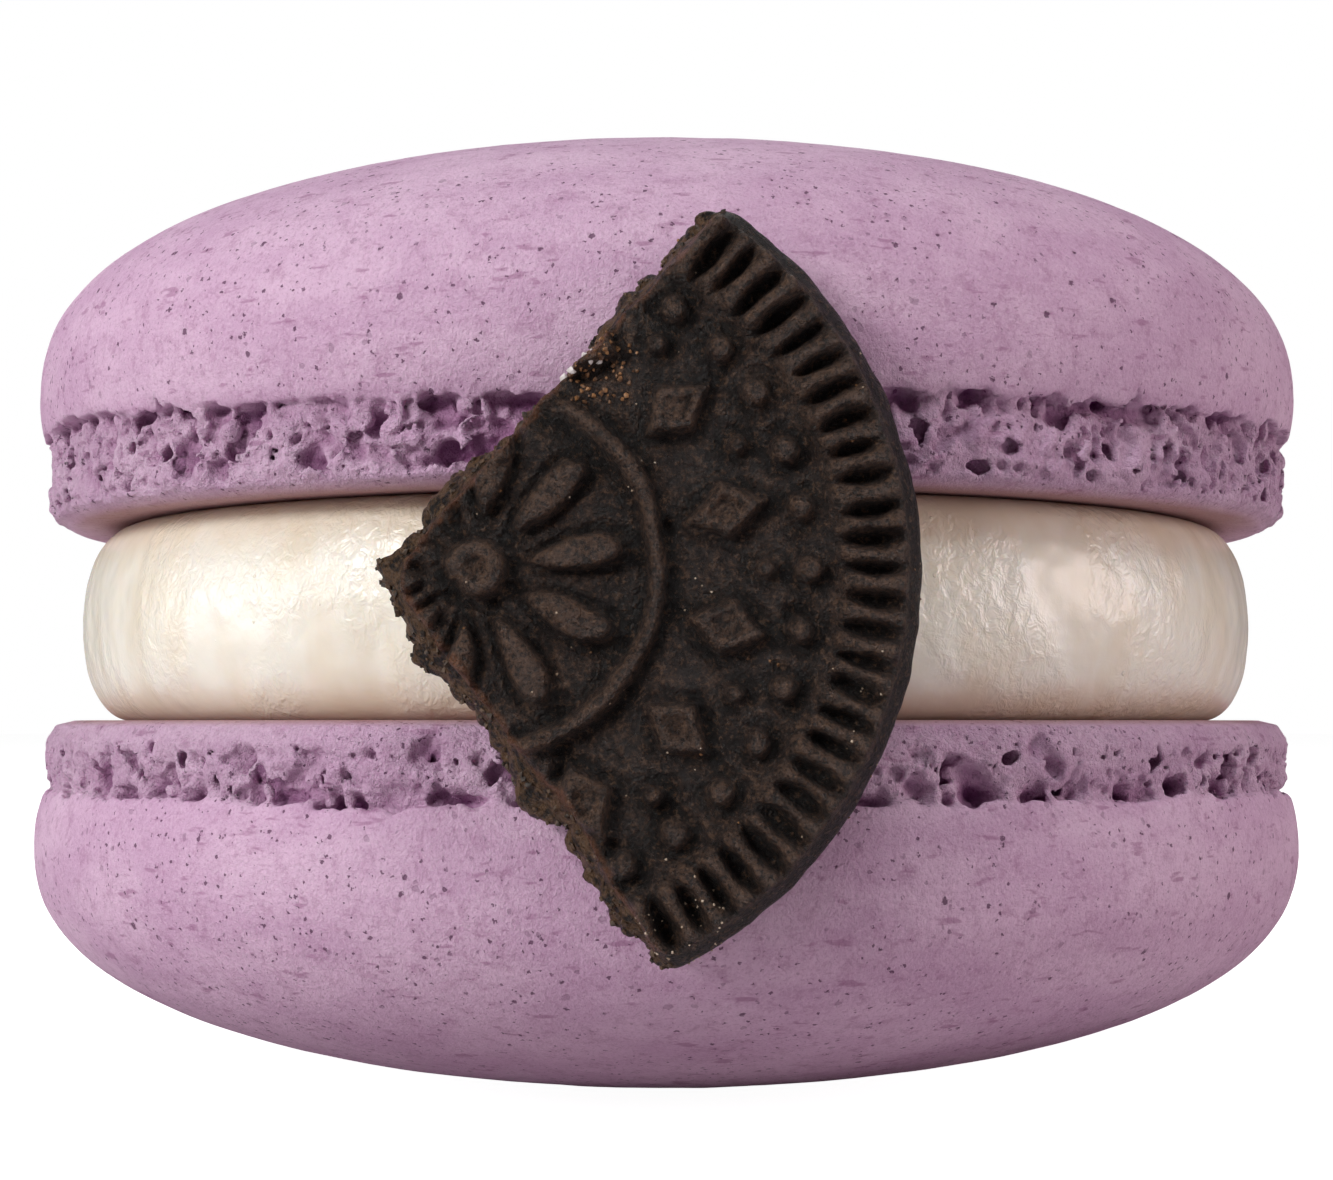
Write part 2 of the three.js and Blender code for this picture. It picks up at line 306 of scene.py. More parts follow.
@dataclass
class Surface:
    """Vertices in millimetres and lists of faces, gathered until a mesh is made of them."""

    vertices: Array
    faces: list[Array] = field(default_factory=list)
    values: dict[str, Array] = field(default_factory=dict)

    def add_vertices(self, points: Array) -> Array:
        """Adds vertices.

        Args:
            points: their positions in mm.

        Returns:
            Their numbers.
        """
        first = len(self.vertices)
        self.vertices = np.concatenate([self.vertices, points])
        return np.arange(first, first + len(points))

    def bridge(self, lower: Array, upper: Array) -> None:
        """Joins two closed rings, the second with as many vertices as the first or half as many.

        Args:
            lower: vertex numbers of the first ring.
            upper: vertex numbers of the second ring, whose faces with the first point outwards.
        """
        if len(lower) == len(upper):
            self.faces.append(np.stack([lower, np.roll(lower, -1), np.roll(upper, -1), upper], axis=1))
            return
        even, odd, after = lower[::2], lower[1::2], np.roll(lower[::2], -1)
        following = np.roll(upper, -1)
        self.faces.append(np.stack([even, odd, upper], axis=1))
        self.faces.append(np.stack([odd, following, upper], axis=1))
        self.faces.append(np.stack([odd, after, following], axis=1))

    def close(self, ring: Array, middle: Array) -> None:
        """Closes a ring with a fan of triangles to a new middle vertex.

        Args:
            ring: vertex numbers, in the order that bridge gives the last ring.
            middle: where the middle vertex goes.
        """
        (hub,) = self.add_vertices(middle[None])
        self.faces.append(np.stack([ring, np.roll(ring, -1), np.full(len(ring), hub)], axis=1))

    def make(self, name: str, material: bpy.types.Material, turned: bool = False) -> bpy.types.Object:
        """Makes the mesh object.

        Args:
            name: the piece's name.
            material: its material.
            turned: whether the faces have to be turned round.

        Returns:
            The object, smooth, in metres, at the origin.
        """
        faces = [face for group in self.faces for face in (group[:, ::-1] if turned else group).tolist()]
        mesh = bpy.data.meshes.new(name)
        mesh.from_pydata((self.vertices * MM).tolist(), [], faces)
        for label, values in self.values.items():
            padded = np.zeros(len(self.vertices), dtype=np.float32)
            padded[: len(values)] = values
            mesh.attributes.new(label, "FLOAT", "POINT").data.foreach_set("value", padded)
        mesh.polygons.foreach_set("use_smooth", np.ones(len(mesh.polygons), dtype=bool))
        mesh.materials.append(material)
        mesh.validate()
        mesh.update()
        obj = bpy.data.objects.new(name, mesh)
        bpy.context.scene.collection.objects.link(obj)
        return obj


def count_triangles(piece: bpy.types.Object) -> int:
    """Counts a piece's triangles."""
    return sum(len(p.vertices) - 2 for p in piece.data.polygons)


def thin(piece: bpy.types.Object) -> None:
    """Thins a mesh, first where it is flattest, down to MOST_TRIANGLES triangles.

    Args:
        piece: the piece.
    """
    triangles = count_triangles(piece)
    if triangles <= MOST_TRIANGLES:
        return
    modifier = piece.modifiers.new("thin", "DECIMATE")
    modifier.ratio = MOST_TRIANGLES / triangles
    mesh = bpy.data.meshes.new_from_object(piece.evaluated_get(bpy.context.evaluated_depsgraph_get()))
    piece.modifiers.remove(modifier)
    piece.data = mesh


def claim(piece: bpy.types.Object, slot: Slot, *nodes: str) -> None:
    """Rides a piece on the body, hides the CAD nodes that it stands for, and logs its triangle count.

    Args:
        piece: the finished piece.
        slot: the record's slot; not used.
        nodes: the CAD nodes it replaces, if any.
    """
    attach(piece, "root")
    if nodes:
        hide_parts(*nodes)
    log.info("%s: %d triangles", piece.name, count_triangles(piece))


# --------------------------------------------------------------------------------------------------
# Node trees


class Graph:
    """A node tree with short calls for adding nodes and wiring them."""

    def __init__(self, tree: bpy.types.NodeTree) -> None:
        """Keeps the tree."""
        self.tree = tree

    def add(
        self, kind: str, inputs: dict[str | int, Any] | None = None, **settings: Any
    ) -> bpy.types.Node:
        """Adds a node.

        Args:
            kind: the node's type name.
            inputs: for each input, by name or number, a socket to link from or a value.
            settings: the node's own properties.

        Returns:
            The node.
        """
        node = self.tree.nodes.new(kind)
        for key, value in settings.items():
            setattr(node, key, value)
        for key, value in (inputs or {}).items():
            socket = node.inputs[key]
            if isinstance(value, bpy.types.NodeSocket):
                self.tree.links.new(value, socket)
            else:
                socket.default_value = value
        return node

    def math(self, operation: str, *values: Any) -> bpy.types.NodeSocket:
        """Adds a Math node and returns its result."""
        return self.add("ShaderNodeMath", dict(enumerate(values)), operation=operation).outputs[0]

    def product(self, *values: Any) -> bpy.types.NodeSocket:
        """Multiplies two or more numbers.

        Args:
            values: the numbers or sockets.

        Returns:
            Their product.
        """
        total = values[0]
        for value in values[1:]:
            total = self.math("MULTIPLY", total, value)
        return total

    def vector(self, operation: str, first: Any, second: Any) -> bpy.types.Node:
        """Adds a Vector Math node on two vectors."""
        return self.add("ShaderNodeVectorMath", {0: first, 1: second}, operation=operation)

    def scaled(self, vector: Any, scale: Any) -> bpy.types.NodeSocket:
        """Returns a vector times a number."""
        return self.add("ShaderNodeVectorMath", {0: vector, "Scale": scale}, operation="SCALE").outputs[0]

    def ramp(
        self, value: Any, start: float, end: float, low: float = 0.0, high: float = 1.0
    ) -> bpy.types.NodeSocket:
        """Adds a smooth step of a value.

        Args:
            value: the socket to read.
            start: where the step starts.
            end: where it ends.
            low: its result before the start.
            high: its result after the end.

        Returns:
            The result.
        """
        inputs = {"Value": value, "From Min": start, "From Max": end, "To Min": low, "To Max": high}
        return self.add("ShaderNodeMapRange", inputs, interpolation_type="SMOOTHSTEP").outputs[0]


class ShaderGraph(Graph):
    """A material's nodes."""

    def __init__(self, name: str) -> None:
        """Starts a material with a Principled shader on Object coordinates.

        Args:
            name: the material's name.
        """
        self.material = bpy.data.materials.new(name)
        self.material.use_nodes = True
        super().__init__(self.material.node_tree)
        self.shader = self.tree.nodes["Principled BSDF"]
        self.place = self.add("ShaderNodeTexCoord").outputs["Object"]

    def stretched(self, scale: tuple[float, float, float]) -> bpy.types.NodeSocket:
        """Returns Object coordinates scaled along each axis."""
        return self.add("ShaderNodeMapping", {"Vector": self.place, "Scale": scale}).outputs[0]

    def shaken(self, wavelength: float, reach: float) -> bpy.types.NodeSocket:
        """Returns Object coordinates shifted at random.

        Args:
            wavelength: the shifts' scale in mm.
            reach: how far they go, in mm.

        Returns:
            The shifted coordinates.
        """
        inputs = {"Vector": self.place, "Scale": 1 / (wavelength * MM), "Detail": 1.0}
        noise = self.add("ShaderNodeTexNoise", inputs).outputs["Color"]
        away = self.vector("SUBTRACT", noise, (0.5, 0.5, 0.5)).outputs[0]
        return self.vector("ADD", self.place, self.scaled(away, reach * MM)).outputs[0]

    def noise(
        self,
        wavelength: float,
        detail: float = 2.0,
        place: bpy.types.NodeSocket | None = None,
        rough: float = 0.5,
        swirl: float = 0.0,
    ) -> bpy.types.NodeSocket:
        """Adds noise.

        Args:
            wavelength: its scale in mm.
            detail: octaves.
            place: the coordinates, if not the object's own.
            rough: how strong the finer octaves are.
            swirl: how much it is twisted.

        Returns:
            Values round 0.5.
        """
        inputs = {"Vector": place or self.place, "Scale": 1 / (wavelength * MM), "Detail": detail}
        inputs |= {"Roughness": rough, "Distortion": swirl}
        return self.add("ShaderNodeTexNoise", inputs).outputs["Fac"]

    def specks(
        self, spacing: float, share: float, radius: float, place: bpy.types.NodeSocket | None = None
    ) -> bpy.types.NodeSocket:
        """Adds scattered round specks.

        Args:
            spacing: distance between the cells that may hold one, in mm.
            share: how many of the cells hold one, from 0 to 1.
            radius: the largest speck's radius as a share of the spacing.
            place: the coordinates, if not the object's own.

        Returns:
            1 in a speck and 0 outside.
        """
        inputs = {"Vector": place or self.place, "Scale": 1 / (spacing * MM)}
        cell = self.add("ShaderNodeTexVoronoi", inputs, feature="F1")
        chance = self.add("ShaderNodeSeparateColor", {0: cell.outputs["Color"]})
        small_more_often = self.math("POWER", chance.outputs[1], 1.6)
        size = self.math("MULTIPLY_ADD", small_more_often, 0.75 * radius, 0.25 * radius)
        inside = self.ramp(self.math("SUBTRACT", cell.outputs["Distance"], size), 0.0, -0.05)
        return self.product(inside, self.math("LESS_THAN", chance.outputs[0], share))

    def cells(self, spacing: float, place: bpy.types.NodeSocket | None = None) -> bpy.types.NodeSocket:
        """Returns how far the nearest of some scattered points is, in shares of their spacing in mm."""
        inputs = {"Vector": place or self.place, "Scale": 1 / (spacing * MM)}
        return self.add("ShaderNodeTexVoronoi", inputs, feature="F1").outputs["Distance"]

    def mix(self, share: Any, first: Any, second: Any, strength: float = 1.0) -> bpy.types.NodeSocket:
        """Mixes two colours.

        Args:
            share: how much of the second.
            first: a colour or a socket.
            second: a colour or a socket.
            strength: what the share is multiplied by.

        Returns:
            The colour.
        """
        if strength != 1.0:
            share = self.product(share, strength)
        return self.add("ShaderNodeMix", {0: share, 6: first, 7: second}, data_type="RGBA").outputs[2]

    def value(self, name: str) -> bpy.types.NodeSocket:
        """Reads one of the mesh's own values."""
        return self.add("ShaderNodeAttribute", attribute_name=name).outputs["Fac"]

    def bump(self, *layers: tuple[Any, float]) -> None:
        """Gives the shader bumps.

        Args:
            layers: heights from 0 to 1, each with its depth in mm, negative where 1 is lowest.
        """
        normal = None
        for height, depth in layers:
            inputs = {"Height": height, "Distance": abs(depth) * MM, "Strength": 1.0}
            if normal:
                inputs["Normal"] = normal
            normal = self.add("ShaderNodeBump", inputs, invert=depth < 0).outputs[0]
        self.tree.links.new(normal, self.shader.inputs["Normal"])

    def finish(self, colour: bpy.types.NodeSocket, **constants: Any) -> bpy.types.Material:
        """Gives the shader its colour and its constant inputs.

        Args:
            colour: the surface's colour.
            constants: values of the shader's inputs, by name, with underscores for spaces.

        Returns:
            The material.
        """
        self.tree.links.new(colour, self.shader.inputs["Base Color"])
        for key, value in constants.items():
            self.shader.inputs[key.replace("_", " ")].default_value = value
        return self.material


class GeometryGraph(Graph):
    """A Geometry Nodes tree with named inputs."""

    def __init__(self, name: str, sizes: dict[str, float | int]) -> None:
        """Starts the tree.

        Args:
            name: the tree's name.
            sizes: its inputs and their values, whole numbers as integers.
        """
        super().__init__(bpy.data.node_groups.new(name, "GeometryNodeTree"))
        face = self.tree.interface
        face.new_socket("Geometry", in_out="INPUT", socket_type="NodeSocketGeometry")
        face.new_socket("Geometry", in_out="OUTPUT", socket_type="NodeSocketGeometry")
        self.sizes = sizes
        self.sockets = {}
        for label, value in sizes.items():
            kind = "NodeSocketInt" if isinstance(value, int) else "NodeSocketFloat"
            self.sockets[label] = face.new_socket(label, in_out="INPUT", socket_type=kind).identifier
        self.input = self.add("NodeGroupInput")

    def size(self, name: str) -> bpy.types.NodeSocket:
        """Returns a named input."""
        return self.input.outputs[name]

    def noise(self, place: Any, wavelength: float, detail: float = 2.0) -> bpy.types.NodeSocket:
        """Adds noise.

        Args:
            place: where it is read.
            wavelength: its scale in mm.
            detail: octaves.

        Returns:
            Values from about -1 to 1.
        """
        inputs = {"Vector": place, "Scale": 1 / (wavelength * MM), "Detail": detail}
        noise = self.add("ShaderNodeTexNoise", inputs).outputs["Fac"]
        return self.product(self.math("SUBTRACT", noise, 0.5), 4.0)

    def end(self, geometry: bpy.types.NodeSocket, material: bpy.types.Material) -> None:
        """Realizes the geometry's instances, sets its material and ends the tree.

        Args:
            geometry: what the tree has made.
            material: its material.
        """
        real = self.add("GeometryNodeRealizeInstances", {0: geometry}).outputs[0]
        dressed = self.add("GeometryNodeSetMaterial", {"Geometry": real, "Material": material}).outputs[0]
        self.add("NodeGroupOutput", {0: dressed})

    def apply(self, name: str, base: bpy.types.Mesh) -> bpy.types.Object:
        """Runs the tree on a mesh.

        Args:
            name: the new piece's name.
            base: the mesh that goes in.

        Returns:
            The piece as a plain mesh, with no modifier.
        """
        carrier = bpy.data.objects.new(name + "_base", base)
        bpy.context.scene.collection.objects.link(carrier)
        modifier = carrier.modifiers.new("nodes", "NODES")
        modifier.node_group = self.tree
        for label, value in self.sizes.items():
            modifier[self.sockets[label]] = value
        graph = bpy.context.evaluated_depsgraph_get()
        mesh = bpy.data.meshes.new_from_object(carrier.evaluated_get(graph), depsgraph=graph)
        bpy.data.objects.remove(carrier)
        mesh.name = name
        piece = bpy.data.objects.new(name, mesh)
        bpy.context.scene.collection.objects.link(piece)
        return piece


# --------------------------------------------------------------------------------------------------
# Finishes


@dataclass(frozen=True)
class MeringueFinish:
    """Matte almond meringue: lavender, mottled and specked with purple, with painted plum shade in its
    hollows.
    """

    pale: Colour = srgb(220, 186, 213)
    plain: Colour = srgb(207, 169, 200)
    bright: Colour = srgb(240, 214, 232)
    smudge: Colour = srgb(160, 108, 146)
    speck: Colour = srgb(84, 38, 76)
    # Painted shade for the foot's recesses, by their depth.
    crease_shade: Colour = srgb(184, 130, 172)
    # Painted plum shade for the foot's deepest hollows.
    hollow: Colour = srgb(114, 36, 106)
    # Painted shade, with the cream's painted warm reflection, under the flat face's front.
    shade_and_cream_reflection: Colour = srgb(150, 106, 90)
    cloud_size: float = 5.0
    mottle_size: float = 0.7
    grain_size: float = 0.13
    streak_size: float = 1.3
    crowd_size: float = 4.0
    freckle_spacing: float = 0.6
    dot_spacing: float = 0.3
    coarse_spacing: float = 0.9
    dimple_size: float = 0.34
    froth_size: float = 0.2

    def marks(self, g: ShaderGraph) -> bpy.types.NodeSocket:
        """Adds the purple marks: faint freckles, fine dots that crowd in places, and coarse specks.

        Args:
            g: the material's nodes.

        Returns:
            How dark the marks are, from 0 to 1.
        """
        crowd = g.ramp(g.noise(self.crowd_size, 2), 0.32, 0.54)
        frayed = g.shaken(0.1, 0.2)
        freckles = g.product(g.specks(self.freckle_spacing, 0.7, 0.25, g.shaken(0.25, 0.3)), 0.3)
        dots = g.product(g.specks(self.dot_spacing, 0.85, 0.29, frayed), crowd, 0.8)
        coarse = g.product(g.specks(self.coarse_spacing, 0.75, 0.165, frayed), 0.8)
        return g.math("MAXIMUM", freckles, g.math("MAXIMUM", dots, coarse))

    def material(self) -> bpy.types.Material:
        """Builds the material.

        Returns:
            The meringue, which reads the shell's values hollow, foot and face.
        """
        g = ShaderGraph("meringue")
        clouds = g.ramp(g.noise(self.cloud_size, 4, g.stretched((1.0, 1.0, 2.2)), 0.6), 0.36, 0.64)
        colour = g.mix(clouds, self.plain, self.pale)
        mottle = g.ramp(g.noise(self.mottle_size, 4, rough=0.75), 0.48, 0.72)
        colour = g.mix(mottle, colour, self.smudge, 0.42)
        grain = g.noise(self.grain_size, 3, rough=0.8)
        colour = g.mix(g.ramp(grain, 0.5, 0.34), colour, self.smudge, 0.3)
        colour = g.mix(g.ramp(grain, 0.54, 0.68), colour, self.bright, 0.3)
        streaks = g.ramp(g.noise(self.streak_size, 3, g.stretched((1.0, 1.0, 4.0))), 0.62, 0.72)
        colour = g.mix(streaks, colour, self.smudge, 0.6)
        marks = self.marks(g)
        colour = g.mix(marks, colour, self.speck)
        depth = g.value("hollow")
        foot = g.value("foot")
        # Painted shade: the foot darkens with depth into its recesses, and goes plum in its deepest
        # hollows.
        colour = g.mix(g.product(g.ramp(depth, 0.24, 0.8), foot), colour, self.crease_shade, 0.6)
        colour = g.mix(g.ramp(depth, 0.45, 1.4), colour, self.hollow)
        # Painted shade and painted warm reflection of the cream under the flat face's front.
        colour = g.mix(g.value("face"), colour, self.shade_and_cream_reflection, 0.72)
        dimples = g.noise(self.dimple_size, 4, rough=0.75)
        pits = g.math("SUBTRACT", 1.0, marks)
        froth = g.product(g.noise(self.froth_size, 3, rough=0.75), foot)
        g.bump((dimples, 0.09), (grain, 0.05), (pits, 0.05), (froth, 0.22))
        return g.finish(
            colour,
            Roughness=0.62,
            Subsurface_Weight=0.1,
            Subsurface_Radius=(1.0, 0.45, 0.8),
            Subsurface_Scale=0.0007,
            Specular_IOR_Level=0.3,
        )


@dataclass(frozen=True)
class CreamFinish:
    """Satin ivory cream, with painted warm shade along its edges, folds where it was smoothed and a few
    bubbles.
    """

    bottom: float
    top: float
    body: Colour = srgb(250, 244, 232)
    cloud: Colour = srgb(238, 225, 202)
    # Painted warm shade along the bottom and top, where the shells meet the cream.
    edge: Colour = srgb(212, 188, 152)
    fleck: Colour = srgb(228, 186, 96)
    cloud_size: float = 3.5
    fray_size: float = 1.6
    fleck_spacing: float = 2.6
    bubble_spacing: float = 0.8
    swell_size: float = 3.2
    fold_size: float = 0.55
    patch_size: float = 5.0

    def material(self) -> bpy.types.Material:
        """Builds the material.

        Returns:
            The cream, with painted warm shade towards its bottom and top heights.
        """
        g = ShaderGraph("cream")
        cloud = g.ramp(g.noise(self.cloud_size, 3, g.stretched((1.6, 1.6, 0.6))), 0.4, 0.7)
        colour = g.mix(cloud, self.body, self.cloud, 0.6)
        height = g.add("ShaderNodeSeparateXYZ", {0: g.place}).outputs[2]
        frayed = g.math("ADD", height, g.product(g.noise(self.fray_size, 3), 1.2 * MM))
        # Painted warm shade, darker towards the bottom and top where the shells overhang.
        low = g.ramp(frayed, (self.bottom + 2.3) * MM, (self.bottom + 0.9) * MM)
        high = g.ramp(frayed, (self.top - 1.8) * MM, (self.top + 0.2) * MM)
        colour = g.mix(g.math("MAXIMUM", low, high), colour, self.edge, 0.42)
        colour = g.mix(g.specks(self.fleck_spacing, 0.1, 0.1), colour, self.fleck, 0.7)
        bubbles = g.specks(self.bubble_spacing, 0.3, 0.14)
        patch = g.ramp(g.noise(self.patch_size, 1), 0.42, 0.58, 0.1)
        folds = g.noise(self.fold_size, 3, g.stretched((1.0, 1.0, 0.9)), 0.6, 0.4)
        swells = g.noise(self.swell_size, 2)
        g.bump((swells, 0.12), (g.product(folds, patch), 0.12), (bubbles, 0.03))
        return g.finish(
            colour,
            Roughness=0.27,
            Subsurface_Weight=0.3,
            Subsurface_Radius=(1.0, 0.75, 0.5),
            Subsurface_Scale=0.0016,
            Specular_IOR_Level=0.55,
        )


@dataclass(frozen=True)
class CocoaFinish:
    """Dark, sandy cocoa biscuit: paler on its figures by wear and painted light, painted shade in its
    recesses, olive round its rim, rusty by the break.
    """

    # deep also paints shade in the recesses and between the grains.
    deep: Colour = srgb(18, 11, 9)
    plain: Colour = srgb(43, 30, 26)
    # Lighter tone for the raised figures, partly wear and partly painted light on their tops.
    worn_and_lit: Colour = srgb(104, 79, 64)
    broken: Colour = srgb(108, 80, 55)
    rust: Colour = srgb(120, 76, 50)
    rim: Colour = srgb(74, 59, 44)
    # Painted glints on the grain's lit bumps.
    glint: Colour = srgb(126, 96, 74)
    sand_size: float = 0.2
    grit_spacing: float = 0.16
    rubbed_size: float = 0.5
    cloud_size: float = 1.1
    crumb_size: float = 0.4
    rust_size: float = 0.9
    swell_size: float = 0.6

    def material(self) -> bpy.types.Material:
        """Builds the material.

        Returns:
            The biscuit, which reads the wafer's values raised, edge, broken and rust.
        """
        g = ShaderGraph("cocoa biscuit")
        raised = g.value("raised")
        rubbed = g.ramp(g.noise(self.rubbed_size, 4, rough=0.8), 0.3, 0.6, 0.3)
        # Raised figures are paler, partly from wear and partly as painted light on their tops.
        colour = g.mix(g.product(g.ramp(raised, 0.0, 1.1), rubbed), self.plain, self.worn_and_lit)
        clouds = g.ramp(g.noise(self.cloud_size, 3, rough=0.7), 0.4, 0.7)
        colour = g.mix(clouds, colour, self.worn_and_lit, 0.4)
        colour = g.mix(g.value("edge"), colour, self.rim, 0.65)
        # Painted shade: below the plate, in ditches and slots, it goes dark.
        colour = g.mix(g.ramp(raised, 0.0, -0.5), colour, self.deep)
        sand = g.noise(self.sand_size, 4, rough=0.8)
        # Sand: its darks are partly the grain's own tone and partly painted shade between grains, its
        # lights painted glints.
        colour = g.mix(g.ramp(sand, 0.5, 0.42), colour, self.deep, 0.85)
        colour = g.mix(g.ramp(sand, 0.53, 0.63), colour, self.glint, 0.6)
        crumbs = g.ramp(g.noise(self.crumb_size, 3, rough=0.7), 0.38, 0.56)
        colour = g.mix(g.value("broken"), colour, g.mix(crumbs, self.deep, self.broken))
        rusty = g.ramp(g.noise(self.rust_size, 3, rough=0.7), 0.36, 0.52, 0.0, 0.8)
        colour = g.mix(g.product(g.value("rust"), rusty), colour, self.rust)
        swells = g.noise(self.swell_size, 3, rough=0.6)
        grit = g.cells(self.grit_spacing, g.shaken(0.3, 0.15))
        g.bump((swells, 0.4), (grit, -0.12), (sand, 0.45))
        return g.finish(colour, Roughness=0.42, Specular_IOR_Level=0.45)


@dataclass(frozen=True)
class GrainFinish:
    """One colour of crumb or sugar, a little mottled."""

    name: str
    colour: Colour
    darker: Colour
    roughness: float = 0.5
    mottle_size: float = 0.3
    dimple_size: float = 0.05

    def material(self) -> bpy.types.Material:
        """Builds the material.

        Returns:
            The grain's material.
        """
        g = ShaderGraph(self.name)
        mottle = g.ramp(g.noise(self.mottle_size, 2), 0.35, 0.65)
        g.bump((g.noise(self.dimple_size, 2), 0.01))
        return g.finish(g.mix(mottle, self.colour, self.darker), Roughness=self.roughness)


# --------------------------------------------------------------------------------------------------
# Shells


@dataclass
class FootCharacter:
    """How open the sponge of a foot is.

    The counts are for the whole turn. Below smooth_below, in mm from the flat face, the foot stays
    smooth. The band is a thin skin along the flat face, set back by band_depth. An openness of 1
    gives full-sized bubbles, and ribbed_side is how far the sponge is drawn into posts at the right.
    """

    seed: int
    caves: int
    pits: int
    pores: int
    craters: int
    nodules: int
    drips: int
    smooth_below: float
    lump_depth: float
    band_depth: float
    openness: float = 1.0
    ribbed_side: float = 0.0
    cracks: tuple[float, ...] = ()


@dataclass
class FootBlock:
    """The samples of a foot round the whole turn, which ellipsoids are added to or taken away from.

    roof is positive above the dome's lip, warp shifts the ellipsoids' places at random, lip is the
    lip's height for each column, and rim is the radius that lengths along the foot are measured at.
    """

    solid: Array
    roof: Array
    radius: Array
    height: Array
    warp: Array
    lip: Array
    angles: Array
    rim: float

    def turned(self, angle: float) -> Array:
        """Returns how far each column is turned from an angle."""
        return (self.angles - angle + math.pi) % TURN - math.pi

    def lip_at(self, angle: float) -> float:
        """Returns the height of the dome's lip at an angle."""
        return float(self.lip[np.argmin(np.abs(self.turned(angle)))])

    def ellipsoid(
        self, angle: float, r: float, h: float, size: tuple[float, float, float], lean: float = 0.0
    ) -> tuple[Array, Array]:
        """Measures distances to a warped ellipsoid.

        Args:
            angle: where it is round the axis.
            r: its middle's radius.
            h: its middle's height.
            size: its half sizes along the rim, in radius and in height.
            lean: how much it rises inwards.

        Returns:
            The columns near it, and the distance outside it for each of their samples.
        """
        turn = self.turned(angle)
        spare = 0.6
        near = np.flatnonzero(np.abs(turn) * self.rim < size[0] + spare)
        inwards = r - self.radius[None] + self.warp[near, ..., 1]
        along = turn[near, None, None] * self.rim + self.warp[near, ..., 0]
        upwards = self.height[None] - h + self.warp[near, ..., 2] - lean * inwards
        away = np.sqrt((along / size[0]) ** 2 + (inwards / size[1]) ** 2 + (upwards / size[2]) ** 2)
        return near, (away - 1) * min(size)

    def add(
        self, angle: float, r: float, h: float, size: tuple[float, float, float], blend: float
    ) -> None:
        """Adds an ellipsoid.

        Args:
            angle: where it is round the axis.
            r: its middle's radius.
            h: its middle's height.
            size: its half sizes along the rim, in radius and in height.
            blend: how far its joint is rounded.
        """
        near, distance = self.ellipsoid(angle, r, h, size)
        self.solid[near] = soft_max(self.solid[near], -distance, blend)

    def take(
        self,
        angle: float,
        r: float,
        h: float,
        size: tuple[float, float, float],
        blend: float,
        lean: float = 0.0,
        roofed: bool = True,
    ) -> None:
        """Takes an ellipsoid away.

        Args:
            angle: where it is round the axis.
            r: its middle's radius.
            h: its middle's height.
            size: its half sizes along the rim, in radius and in height.
            blend: how far its edges are rounded.
            lean: how much it rises inwards.
            roofed: whether the dome's lip is kept above it.
        """
        near, distance = self.ellipsoid(angle, r, h, size, lean)
        if roofed:
            distance = soft_max(distance, self.roof[near], 0.08)
        self.solid[near] = soft_min(self.solid[near], distance, blend)


